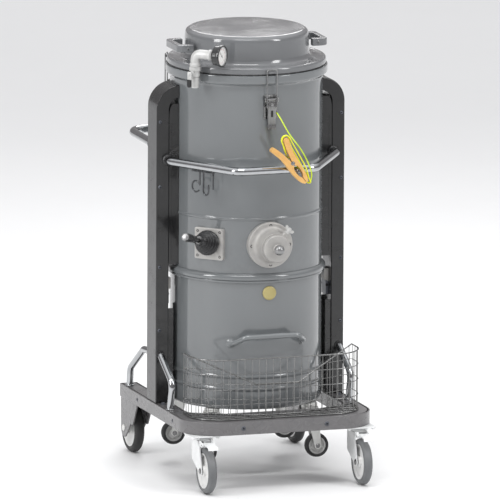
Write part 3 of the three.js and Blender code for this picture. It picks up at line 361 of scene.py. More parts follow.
    def piece(
        self,
        name: str,
        finishes: "Finish | Sequence[Finish]",
        body: str,
        instead_of: Sequence[str] = (),
        slot: str = "",
        edge: float = 0.0,
        angle: float = 35.0,
    ) -> bpy.types.Object:
        """Turns the shape into an object that rides on a body.

        Args:
            name: the piece's name.
            finishes: one finish, or one for each mark.
            body: the body that it rides on.
            instead_of: the frame nodes that it stands for.
            slot: a material slot's name, which is not used.
            edge: how far sharp edges are broken, in millimetres.
            angle: faces that meet at less than this many degrees are shaded as one surface.

        Returns:
            The new object.
        """
        mesh = bpy.data.meshes.new(name)
        shift = Vector((0, DATUM.axis_y, 0))
        mesh.from_pydata([(v + shift) * TO_METRES for v in self.verts], [], self.faces)
        work = bmesh.new()
        work.from_mesh(mesh)
        for face, mark in zip(work.faces, self.marks):
            face.material_index = mark
        bmesh.ops.triangulate(work, faces=[f for f in work.faces if len(f.verts) > 4])
        bmesh.ops.recalc_face_normals(work, faces=work.faces)
        work.to_mesh(mesh)
        work.free()
        mesh.shade_smooth()
        mesh.set_sharp_from_angle(angle=math.radians(angle))
        for finish in finishes if isinstance(finishes, (list, tuple)) else [finishes]:
            mesh.materials.append(finish.material())
        made = bpy.data.objects.new(name, mesh)
        bpy.context.scene.collection.objects.link(made)
        if edge:
            broken = made.modifiers.new("broken edges", "BEVEL")
            broken.width = edge * TO_METRES
            broken.segments = 2
            broken.limit_method = "ANGLE"
            broken.angle_limit = math.radians(40)
            broken.harden_normals = True
        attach(made, body)
        if instead_of:
            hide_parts(*instead_of)
        LOG.info("%s rides on %s", name, body)
        return made


# ---- Shader groups ----
def socket(tree: bpy.types.NodeTree, name: str, kind: str, way: str, value: object = None) -> None:
    """Adds a named socket to a node group."""
    made = tree.interface.new_socket(name=name, in_out=way, socket_type=kind)
    if value is not None:
        made.default_value = value


class Weaver:
    """Places and joins shader nodes in one tree."""

    def __init__(self, tree: bpy.types.NodeTree) -> None:
        """Works in the given tree."""
        self.tree = tree

    def put(self, kind: str, **settings: object) -> bpy.types.Node:
        """Places a node and sets its options."""
        node = self.tree.nodes.new(kind)
        for key, value in settings.items():
            setattr(node, key, value)
        return node

    def feed(self, node: bpy.types.Node, **values: object) -> bpy.types.Node:
        """Sets or links a node's inputs by name, with _ for a space or a number after an x for its place."""
        for key, value in values.items():
            place = int(key[1:]) if key[0] == "x" and key[1:].isdigit() else key.replace("_", " ")
            target = node.inputs[place]
            if isinstance(value, bpy.types.NodeSocket):
                self.tree.links.new(value, target)
            else:
                target.default_value = value
        return node

    def noise(self, coords: object, scale: float, detail: float = 4.0,
              rough: float = 0.55) -> bpy.types.NodeSocket:
        """A noise of a given scale over some coordinates."""
        node = self.put("ShaderNodeTexNoise")
        self.feed(node, Vector=coords, Scale=scale, Detail=detail, Roughness=rough)
        return node.outputs["Fac"]

    def sum(self, kind: str, a: object, b: object, clamp: bool = False) -> bpy.types.NodeSocket:
        """One step of arithmetic."""
        node = self.put("ShaderNodeMath", operation=kind, use_clamp=clamp)
        return self.feed(node, x0=a, x1=b).outputs[0]

    def spread(self, value: object, low: float, high: float, out_low: float = 0.0,
               out_high: float = 1.0) -> object:
        """Stretches the stretch low to high of a value over out_low to out_high."""
        node = self.put("ShaderNodeMapRange")
        self.feed(node, x0=value, x1=low, x2=high, x3=out_low, x4=out_high)
        return node.outputs[0]

    def mix(self, factor: object, a: object, b: object) -> bpy.types.NodeSocket:
        """Mixes two colours."""
        node = self.put("ShaderNodeMix", data_type="RGBA")
        self.feed(node, x0=factor, x6=a, x7=b)
        return node.outputs[2]


def new_group(name: str, inputs: dict[str, float], outputs: Sequence[str]) -> tuple[bpy.types.NodeTree,
                                                                                    Weaver]:
    """Starts a node group with number inputs and the given outputs, colours where the name says so."""
    tree = bpy.data.node_groups.new(name, "ShaderNodeTree")
    for key, value in inputs.items():
        socket(tree, key, "NodeSocketFloat", "INPUT", value)
    for key in outputs:
        kind = "NodeSocketColor" if key == "Color" else "NodeSocketFloat"
        socket(tree, key, kind, "OUTPUT")
    return tree, Weaver(tree)


def edge_wear_group() -> bpy.types.NodeTree:
    """Where corners are rubbed: a mask from the surface's pointiness, broken up by noise."""
    tree, w = new_group("edge_wear", {"Amount": 0.5, "Scale": 60.0}, ["Mask"])
    inlet, outlet = w.put("NodeGroupInput"), w.put("NodeGroupOutput")
    coords = w.put("ShaderNodeTexCoord").outputs["Object"]
    point = w.put("ShaderNodeNewGeometry").outputs["Pointiness"]
    patchy = w.noise(coords, inlet.outputs["Scale"], 5.0)
    raised = w.spread(point, 0.515, 0.60)
    worn = w.sum("MULTIPLY", raised, w.spread(patchy, 0.42, 0.62), True)
    w.feed(outlet, Mask=w.sum("MULTIPLY", worn, inlet.outputs["Amount"], True))
    return tree


def dust_and_shade_group() -> bpy.types.NodeTree:
    """Settled dust and painted shade: a mask that grows on faces that look up, in soft patches; with a colour
    darker than the paint it paints shade on the tops.
    """
    tree, w = new_group("dust_and_shade", {"Amount": 0.3, "Scale": 9.0}, ["Mask"])
    inlet, outlet = w.put("NodeGroupInput"), w.put("NodeGroupOutput")
    coords = w.put("ShaderNodeTexCoord").outputs["Object"]
    split = w.put("ShaderNodeSeparateXYZ")
    w.feed(split, Vector=w.put("ShaderNodeNewGeometry").outputs["Normal"])
    up = w.spread(split.outputs["Z"], 0.2, 1.0)
    patchy = w.spread(w.noise(coords, inlet.outputs["Scale"], 6.0), 0.35, 0.75)
    w.feed(outlet, Mask=w.sum("MULTIPLY", w.sum("MULTIPLY", up, patchy), inlet.outputs["Amount"], True))
    return tree


def grain_group() -> bpy.types.NodeTree:
    """Fine grain: an even noise for a moulded, cast or sprayed skin, with a coarser mottle."""
    tree, w = new_group("grain", {"Fine": 900.0, "Coarse": 12.0}, ["Height", "Mottle"])
    inlet, outlet = w.put("NodeGroupInput"), w.put("NodeGroupOutput")
    coords = w.put("ShaderNodeTexCoord").outputs["Object"]
    fine = w.noise(coords, inlet.outputs["Fine"], 3.0, 0.6)
    coarse = w.noise(coords, inlet.outputs["Coarse"], 5.0, 0.6)
    w.feed(outlet, Height=fine, Mottle=coarse)
    return tree


def brushed_group() -> bpy.types.NodeTree:
    """Drawn metal: noise stretched along Z, for tubes, wires and pressed plates."""
    tree, w = new_group("brushed", {"Fine": 700.0, "Stretch": 0.06}, ["Height", "Streak"])
    inlet, outlet = w.put("NodeGroupInput"), w.put("NodeGroupOutput")
    coords = w.put("ShaderNodeTexCoord").outputs["Object"]
    lengths = w.put("ShaderNodeCombineXYZ")
    w.feed(lengths, X=1.0, Y=1.0, Z=inlet.outputs["Stretch"])
    drawn = w.put("ShaderNodeVectorMath", operation="MULTIPLY")
    w.feed(drawn, x0=coords, x1=lengths.outputs[0])
    fine = w.noise(drawn.outputs[0], inlet.outputs["Fine"], 2.0)
    w.feed(outlet, Height=fine, Streak=w.noise(drawn.outputs[0], 90.0, 4.0))
    return tree


def fingerprints_group() -> bpy.types.NodeTree:
    """Handling marks on a glossy skin: smears that change its roughness a little."""
    tree, w = new_group("smears", {"Scale": 14.0}, ["Mask"])
    inlet, outlet = w.put("NodeGroupInput"), w.put("NodeGroupOutput")
    coords = w.put("ShaderNodeTexCoord").outputs["Object"]
    swirl = w.put("ShaderNodeTexNoise")
    w.feed(swirl, Vector=coords, Scale=inlet.outputs["Scale"], Detail=6.0, Distortion=1.6)
    w.feed(outlet, Mask=w.spread(swirl.outputs["Fac"], 0.45, 0.72))
    return tree


GROUP_MAKERS: dict[str, Callable[[], bpy.types.NodeTree]] = {
    "edge_wear": edge_wear_group,
    "dust_and_shade": dust_and_shade_group,
    "grain": grain_group,
    "brushed": brushed_group,
    "smears": fingerprints_group,
}


class Skin(Enum):
    """Which kind of surface a finish has."""

    GRAINED = "grain"
    DRAWN = "brushed"


@dataclass(frozen=True)
class Finish:
    """A procedural finish: its colours, its gloss and how it wears.

    The two colours mottle into each other, corners wear towards a third, and dust settles on top; where the
    dust colour is darker than the paint, as on the lid and the frame, that top layer is painted shade.
    """

    name: str
    colour: Colour
    other: Colour
    worn: Colour = (0.5, 0.5, 0.5)
    metallic: float = 0.0
    rough: Pair = (0.3, 0.45)
    wear: float = 0.25
    dust_and_shade: float = 0.15
    dust_and_shade_colour: Colour = (0.42, 0.41, 0.39)
    fine: float = 900.0
    coarse: float = 9.0
    bump: float = 0.03
    bump_size: float = 0.0004
    coat: float = 0.0
    skin: Skin = Skin.GRAINED

    def material(self) -> bpy.types.Material:
        """The finish as a material, made once. The ending keeps it apart from the frame's plain materials."""
        return bpy.data.materials.get(self.label()) or self.build()

    def label(self) -> str:
        """The material's name."""
        return self.name + "_finish"

    def build(self) -> bpy.types.Material:
        """Makes the material's nodes."""
        made = bpy.data.materials.new(self.label())
        made.use_nodes = True
        tree = made.node_tree
        shader = tree.nodes["Principled BSDF"]
        w = Weaver(tree)
        grain = self.placed(w, self.skin.value)
        if self.skin is Skin.GRAINED:
            w.feed(grain, Fine=self.fine, Coarse=self.coarse)
            mottle = grain.outputs["Mottle"]
        else:
            w.feed(grain, Fine=self.fine)
            mottle = grain.outputs["Streak"]
        wear = w.feed(self.placed(w, "edge_wear"), Amount=self.wear, Scale=70.0).outputs["Mask"]
        # Dust on faces that look up; on the lid's and the frame's paint its darker colour is painted shade on
        # their tops.
        dust_and_shade = w.feed(self.placed(w, "dust_and_shade"), Amount=self.dust_and_shade, Scale=9.0).outputs["Mask"]
        smear = self.placed(w, "smears").outputs["Mask"]
        base = w.mix(w.spread(mottle, 0.35, 0.65), (*self.colour, 1), (*self.other, 1))
        base = w.mix(wear, base, (*self.worn, 1))
        base = w.mix(dust_and_shade, base, (*self.dust_and_shade_colour, 1))
        gloss = w.spread(smear, 0.0, 1.0, self.rough[0], self.rough[1])
        gloss = w.sum("ADD", gloss, w.sum("MULTIPLY", dust_and_shade, 0.5), True)
        bump = w.put("ShaderNodeBump")
        w.feed(bump, Strength=self.bump, Distance=self.bump_size, Height=grain.outputs["Height"])
        w.feed(shader, Base_Color=base, Roughness=gloss, Normal=bump.outputs[0])
        shader.inputs["Metallic"].default_value = self.metallic
        shader.inputs["Coat Weight"].default_value = self.coat
        shader.inputs["Coat Roughness"].default_value = 0.08
        return made

    @staticmethod
    def placed(w: Weaver, name: str) -> bpy.types.Node:
        """A node group placed in a material, made when it is first asked for."""
        tree = bpy.data.node_groups.get(name) or GROUP_MAKERS[name]()
        return w.put("ShaderNodeGroup", node_tree=tree)


@dataclass(frozen=True)
class Glass(Finish):
    """Clear glass over the gauge's dial."""

    def build(self) -> bpy.types.Material:
        """Makes a clear, thin glass with faint smears in its gloss."""
        made = bpy.data.materials.new(self.label())
        made.use_nodes = True
        w = Weaver(made.node_tree)
        shader = made.node_tree.nodes["Principled BSDF"]
        smear = self.placed(w, "smears").outputs["Mask"]
        w.feed(shader, Roughness=w.spread(smear, 0.0, 1.0, 0.02, 0.08))
        shader.inputs["Base Color"].default_value = (*self.colour, 1)
        shader.inputs["Alpha"].default_value = 0.14
        shader.inputs["IOR"].default_value = 1.5
        return made


# ---- Finishes ----
DRUM_PAINT = Finish("drum_paint", (0.150, 0.160, 0.166), (0.158, 0.168, 0.173), (0.24, 0.25, 0.26),
                    rough=(0.10, 0.15),
                    wear=0.10, dust_and_shade=0.03, fine=420, coarse=3, bump=0.02, coat=0.75)
# The lid's paint; on faces that look up it mixes towards a darker, warmer colour that is partly dust and
# partly painted shade on the lid's top.
LID_PAINT = Finish("lid_paint", (0.142, 0.147, 0.154), (0.150, 0.155, 0.161), (0.24, 0.24, 0.25),
                   rough=(0.12, 0.18),
                   wear=0.12, dust_and_shade=0.30, dust_and_shade_colour=(0.115, 0.095, 0.100), fine=420, coarse=4, bump=0.02,
                   coat=0.7)
# The frame's paint; on faces that look up it mixes towards the darker, warmer colour of its shaded sides,
# partly dust and partly painted shade on the frame's top.
FRAME_PAINT = Finish("frame_paint", (0.118, 0.115, 0.118), (0.130, 0.126, 0.129), (0.24, 0.23, 0.23),
                     rough=(0.26, 0.36),
                     wear=0.3, dust_and_shade=0.30, dust_and_shade_colour=(0.075, 0.064, 0.067), fine=1500, coarse=11,
                     bump=0.06, coat=0.3)
COLUMN_PAINT = Finish("column_paint", (0.0085, 0.0085, 0.009), (0.012, 0.012, 0.0125), (0.07, 0.07, 0.07),
                      rough=(0.20, 0.30),
                      wear=0.2, dust_and_shade=0.03, dust_and_shade_colour=(0.04, 0.04, 0.04), fine=1300, coarse=8, bump=0.04,
                      coat=0.25)
CHROME = Finish("chrome", (0.46, 0.47, 0.48), (0.42, 0.43, 0.44), (0.6, 0.6, 0.6), metallic=1.0,
                rough=(0.06, 0.12),
                wear=0.1, dust_and_shade=0.02, fine=700, bump=0.008, skin=Skin.DRAWN)
ZINC = Finish("zinc", (0.80, 0.80, 0.78), (0.70, 0.70, 0.68), (0.5, 0.5, 0.49), metallic=0.35,
              rough=(0.30, 0.44),
              wear=0.3, dust_and_shade=0.12, fine=600, coarse=30, bump=0.05)
STEEL = Finish("bright_steel", (0.33, 0.33, 0.33), (0.25, 0.25, 0.25), (0.55, 0.55, 0.55), metallic=1.0,
               rough=(0.24, 0.38), wear=0.2, dust_and_shade=0.05, fine=800, bump=0.06, skin=Skin.DRAWN)
CAST = Finish("cast_alloy", (0.42, 0.41, 0.39), (0.36, 0.35, 0.34), (0.62, 0.61, 0.59), metallic=0.25,
              rough=(0.40, 0.55),
              wear=0.4, dust_and_shade=0.06, fine=420, coarse=35, bump=0.16, bump_size=0.0007)
GALVANISED = Finish("galvanised", (0.56, 0.56, 0.55), (0.48, 0.48, 0.47), (0.72, 0.72, 0.71), metallic=0.2,
                    rough=(0.34, 0.48), wear=0.3, dust_and_shade=0.06, fine=300, coarse=60, bump=0.1)
WHITE_RIM = Finish("white_rim", (0.78, 0.78, 0.77), (0.70, 0.70, 0.69), (0.55, 0.55, 0.54),
                   rough=(0.34, 0.46), wear=0.25,
                   dust_and_shade=0.25, fine=900, coarse=14, bump=0.05)
GREY_TYRE = Finish("grey_tyre", (0.17, 0.175, 0.18), (0.13, 0.135, 0.14), (0.24, 0.24, 0.24),
                   rough=(0.52, 0.68), wear=0.5,
                   dust_and_shade=0.3, fine=1200, coarse=20, bump=0.16, bump_size=0.0006)
BLACK_TYRE = Finish("black_tyre", (0.022, 0.022, 0.023), (0.034, 0.034, 0.034), (0.10, 0.10, 0.10),
                    rough=(0.5, 0.68),
                    wear=0.5, dust_and_shade=0.3, fine=1200, coarse=20, bump=0.16, bump_size=0.0006)
RUBBER = Finish("black_rubber", (0.012, 0.012, 0.013), (0.018, 0.018, 0.019), (0.10, 0.10, 0.10),
                rough=(0.24, 0.36),
                wear=0.5, dust_and_shade=0.04, dust_and_shade_colour=(0.09, 0.09, 0.09), fine=1400, coarse=18, bump=0.08)
GRIP = Finish("grip_black", (0.012, 0.012, 0.013), (0.018, 0.018, 0.019), (0.06, 0.06, 0.06),
              rough=(0.24, 0.36), wear=0.3,
              dust_and_shade=0.08, fine=1600, coarse=20, bump=0.06)
GAUGE_BLACK = Finish("gauge_black", (0.010, 0.010, 0.011), (0.015, 0.015, 0.016), (0.1, 0.1, 0.1),
                     rough=(0.16, 0.28),
                     wear=0.3, dust_and_shade=0.05, fine=1200, coarse=30, bump=0.04, coat=0.3)
DIAL = Finish("dial_white", (0.80, 0.79, 0.77), (0.76, 0.75, 0.72), (0.6, 0.6, 0.6), rough=(0.42, 0.5),
              wear=0.05,
              dust_and_shade=0.02, fine=900, coarse=40, bump=0.02)
DIAL_INK = Finish("dial_ink", (0.03, 0.03, 0.03), (0.06, 0.05, 0.05), (0.1, 0.1, 0.1), rough=(0.4, 0.5),
                  wear=0.05,
                  dust_and_shade=0.0, bump=0.02)
DIAL_RED = Finish("dial_red", (0.45, 0.05, 0.05), (0.5, 0.09, 0.08), (0.4, 0.1, 0.1), rough=(0.4, 0.5),
                  wear=0.05,
                  dust_and_shade=0.0, bump=0.02)
BOLT = Finish("blued_bolt", (0.105, 0.112, 0.130), (0.075, 0.080, 0.095), (0.30, 0.31, 0.33), metallic=0.6,
              rough=(0.30, 0.42), wear=0.3, dust_and_shade=0.05, fine=900, coarse=60, bump=0.05)
WIRE = Finish("basket_wire", (0.24, 0.24, 0.235), (0.18, 0.18, 0.18), (0.42, 0.42, 0.41), metallic=0.9,
              rough=(0.20, 0.32),
              wear=0.2, dust_and_shade=0.03, fine=700, bump=0.04, skin=Skin.DRAWN)
HOOK_WIRE = Finish("hook_wire", (0.085, 0.088, 0.092), (0.065, 0.068, 0.072), (0.25, 0.25, 0.25),
                   metallic=0.8,
                   rough=(0.16, 0.28), wear=0.2, dust_and_shade=0.03, fine=700, bump=0.04, skin=Skin.DRAWN)
DULL_BALL = Finish("turned_steel", (0.30, 0.30, 0.30), (0.26, 0.26, 0.26), (0.5, 0.5, 0.5), metallic=0.7,
                   rough=(0.30, 0.40),
                   wear=0.2, dust_and_shade=0.03, fine=900, bump=0.05, skin=Skin.DRAWN)
WHITE_PLATE = Finish("white_plate", (0.84, 0.85, 0.85), (0.77, 0.78, 0.78), (0.6, 0.6, 0.6), metallic=0.1,
                     rough=(0.28, 0.40), wear=0.25, dust_and_shade=0.08, fine=600, coarse=30, bump=0.05)
HANDLE_PAINT = Finish("handle_paint", (0.165, 0.177, 0.183), (0.174, 0.186, 0.191), (0.30, 0.31, 0.32),
                      rough=(0.08, 0.14),
                      wear=0.2, dust_and_shade=0.03, fine=420, coarse=5, bump=0.02, coat=0.9)
GAUGE_GLASS = Glass("gauge_glass", (0.97, 0.98, 0.98), (0.97, 0.98, 0.98))
PLUG = Finish("plug_yellow", (0.40, 0.335, 0.125), (0.45, 0.38, 0.155), (0.52, 0.47, 0.28),
              rough=(0.28, 0.42), wear=0.3,
              dust_and_shade=0.03, fine=500, coarse=30, bump=0.08, coat=0.2)
CLAMP_ORANGE = Finish("clamp_orange", (0.72, 0.42, 0.135), (0.67, 0.38, 0.115), (0.82, 0.58, 0.28),
                      rough=(0.30, 0.44),
                      wear=0.35, dust_and_shade=0.04, fine=1100, coarse=26, bump=0.09)
LEAD_GREEN = Finish("lead_green", (0.34, 0.60, 0.02), (0.40, 0.66, 0.03), (0.5, 0.7, 0.1),
                    rough=(0.32, 0.44), wear=0.1,
                    dust_and_shade=0.05, fine=1500, coarse=60, bump=0.05)
LEAD_YELLOW = Finish("lead_yellow", (0.75, 0.80, 0.015), (0.80, 0.84, 0.03), (0.85, 0.88, 0.2),
                     rough=(0.32, 0.44),
                     wear=0.1, dust_and_shade=0.05, fine=1500, coarse=60, bump=0.05)
COPPER = Finish("copper", (0.62, 0.30, 0.17), (0.50, 0.24, 0.14), (0.80, 0.45, 0.30), metallic=1.0,
                rough=(0.26, 0.42),
                wear=0.4, dust_and_shade=0.04, fine=900, bump=0.08, skin=Skin.DRAWN)
CLOTH = Finish("filter_cloth", (0.62, 0.61, 0.57), (0.52, 0.50, 0.46), (0.7, 0.69, 0.66),
               rough=(0.86, 0.95), wear=0.2,
               dust_and_shade=0.5, dust_and_shade_colour=(0.30, 0.28, 0.26), fine=2400, coarse=14, bump=0.4, bump_size=0.0006)
# A near-black finish that paints shade in gaps, slots, sockets and holes.
SHADOW = Finish("painted_recess_shade", (0.006, 0.006, 0.006), (0.010, 0.010, 0.010), (0.02, 0.02, 0.02),
                rough=(0.7, 0.85),
                wear=0.1, dust_and_shade=0.1, bump=0.05)
STUDIO_FLOOR = Finish("studio_floor", (0.86, 0.86, 0.86), (0.84, 0.84, 0.84), (0.86, 0.86, 0.86),
                      rough=(0.6, 0.7),
                      wear=0.0, dust_and_shade=0.0, fine=60, coarse=0.4, bump=0.01)
ALONG_X = Matrix(((0, 0, 1, 0), (1, 0, 0, 0), (0, 1, 0, 0), (0, 0, 0, 1)))
SIDES = (("left", -1), ("right", 1))


# ---- Fasteners ----
def hex_bolt(shape: Shape, place: Matrix, radius: float, height: float, mark: int = 0,
             washer: bool = True) -> None:
    """Adds a washer and a hexagon head that stand up along the place's own +Z."""
    low = 0.0
    if washer:
        low = height * 0.22
        shape.turned([(0, -0.4), (radius * 1.35, -0.4), (radius * 1.35, low, 0.3), (0, low)], place, 24, mark)
    top = low + height
    shape.turned([(0, low - 0.2), (radius, low - 0.2), (radius, top - radius * 0.12), (radius * 0.86, top),
                  (0, top)],
                 place, 6, mark)


def button_head(shape: Shape, place: Matrix, radius: float, height: float, mark: int = 0,
                shaded_socket_mark: int = 0) -> None:
    """Adds a domed head with a hexagon socket that stands up along the place's own +Z; the socket is a flat
    hexagon whose finish paints the shade inside it.
    """
    dome = [(0, -0.4), (radius, -0.4), (radius, height * 0.25, 0.3),
            (radius * 0.75, height * 0.85, radius * 0.3),
            (radius * 0.45, height), (radius * 0.42, height), (radius * 0.38, height * 0.45),
            (0, height * 0.45)]
    shape.turned(dome, place, 20, mark)
    # The socket: a shallow hexagon set in the dome's hollow, given a near-black finish as painted shade.
    shape.turned([(0, height * 0.40), (radius * 0.40, height * 0.40), (radius * 0.40, height * 0.55),
                  (0, height * 0.55)], place, 6, shaded_socket_mark)


def pierce(made: bpy.types.Object, cutters: Sequence[Shape]) -> None:
    """Cuts solids out of a piece, for good.

    Args:
        made: the piece.
        cutters: the solids that are taken away.
    """
    shift = Vector((0, DATUM.axis_y, 0))
    for number, cutter in enumerate(cutters):
        mesh = bpy.data.meshes.new(f"cutter_{number}")
        mesh.from_pydata([(v + shift) * TO_METRES for v in cutter.verts], [], cutter.faces)
        work = bmesh.new()
        work.from_mesh(mesh)
        bmesh.ops.triangulate(work, faces=[f for f in work.faces if len(f.verts) > 4])
        bmesh.ops.recalc_face_normals(work, faces=work.faces)
        work.to_mesh(mesh)
        work.free()
        tool = bpy.data.objects.new(f"cutter_{number}", mesh)
        bpy.context.scene.collection.objects.link(tool)
        step = made.modifiers.new("hole", "BOOLEAN")
        step.operation = "DIFFERENCE"
        step.solver = "EXACT"
        step.object = tool
        bpy.context.view_layer.update()
        cut = bpy.data.meshes.new_from_object(made.evaluated_get(bpy.context.evaluated_depsgraph_get()))
        made.modifiers.remove(step)
        made.data = cut
        bpy.data.objects.remove(tool)
    made.data.shade_smooth()
    made.data.set_sharp_from_angle(angle=math.radians(35))


# ---- Studio ----
@dataclass
class Studio:
    """The camera, the floor and the soft lights round the object."""

    target: Point = (14.0, 0.0, 661.0)
    distance: float = 67080.0
    azimuth: float = -18.2
    elevation: float = 10.7
    roll: float = 0.3
    lens: float = 1600.0
    sensor: float = 36.0
    floor_half: float = 45.0
    dusk_to_top: Pair = (0.35, 0.85)
    low_air: tuple[float, ...] = (0.30, 0.29, 0.295, 1)
    high_air: tuple[float, ...] = (1.25, 1.26, 1.28, 1)

    def centre(self) -> Vector:
        """The point that the camera and the lights aim at, in metres."""
        return (Vector(self.target) + Vector((0, DATUM.axis_y, 0))) * TO_METRES

    def outwards(self, azimuth: float, elevation: float, distance: float) -> Vector:
        """A point at a distance in metres from the centre, in a direction in degrees."""
        turn, rise = math.radians(azimuth), math.radians(elevation)
        way = Vector((math.sin(turn) * math.cos(rise), -math.cos(turn) * math.cos(rise), math.sin(rise)))
        return self.centre() + way * distance

    def camera(self) -> None:
        """Places the camera."""
        lens = bpy.data.cameras.new("camera")
        lens.lens = self.lens
        lens.sensor_width = self.sensor
        lens.clip_start = 1.0
        lens.clip_end = 200.0
        made = bpy.data.objects.new("camera", lens)
        bpy.context.scene.collection.objects.link(made)
        place = self.outwards(self.azimuth, self.elevation, self.distance * TO_METRES)
        turn = (self.centre() - place).to_track_quat("-Z", "Y").to_matrix().to_4x4()
        made.matrix_world = Matrix.Translation(place) @ turn @ Matrix.Rotation(math.radians(self.roll), 4,
                                                                               "Z")
        bpy.context.scene.camera = made

    def floor(self) -> None:
        """Lays the pale floor."""
        mesh = bpy.data.meshes.new("floor")
        h = self.floor_half
        mesh.from_pydata([(-h, -h, 0), (h, -h, 0), (h, h, 0), (-h, h, 0)], [], [(0, 1, 2, 3)])
        mesh.materials.append(STUDIO_FLOOR.material())
        made = bpy.data.objects.new("floor", mesh)
        bpy.context.scene.collection.objects.link(made)

    def light(self, name: str, where: tuple[float, float, float], size: Pair, watts: float) -> None:
        """Hangs a soft rectangular light that faces the object.

        Args:
            name: the light's name.
            where: its azimuth and elevation in degrees, and its distance in metres.
            size: its width and height in metres.
            watts: its power.
        """
        lamp = bpy.data.lights.new(name, "AREA")
        lamp.shape = "RECTANGLE"
        lamp.size, lamp.size_y = size
        lamp.energy = watts
        made = bpy.data.objects.new(name, lamp)
        bpy.context.scene.collection.objects.link(made)
        place = self.outwards(*where)
        made.matrix_world = Matrix.Translation(place) @ (self.centre() - place).to_track_quat("-Z",
                "Y").to_matrix().to_4x4()

    def build(self) -> None:
        """Sets up the studio."""
        self.camera()
        self.floor()
        self.light("softbox_left", (-74, 24, 4.2), (0.9, 2.6), 70)
        self.light("softbox_right", (40, 30, 4.4), (0.9, 2.2), 55)
        self.light("softbox_top", (-20, 62, 4.6), (2.4, 0.7), 60)
        self.light("softbox_back", (160, 36, 4.4), (1.6, 1.6), 45)
        sky = bpy.data.worlds.new("studio_air")
        sky.use_nodes = True
        w = Weaver(sky.node_tree)
        air = sky.node_tree.nodes["Background"]
        split = w.put("ShaderNodeSeparateXYZ")
        w.feed(split, Vector=w.put("ShaderNodeTexCoord").outputs["Generated"])
        rise = w.spread(split.outputs["Z"], *self.dusk_to_top)
        w.feed(air, Color=w.mix(rise, self.low_air, self.high_air), Strength=1.0)
        bpy.context.scene.world = sky
        bpy.context.scene.view_settings.view_transform = "Standard"


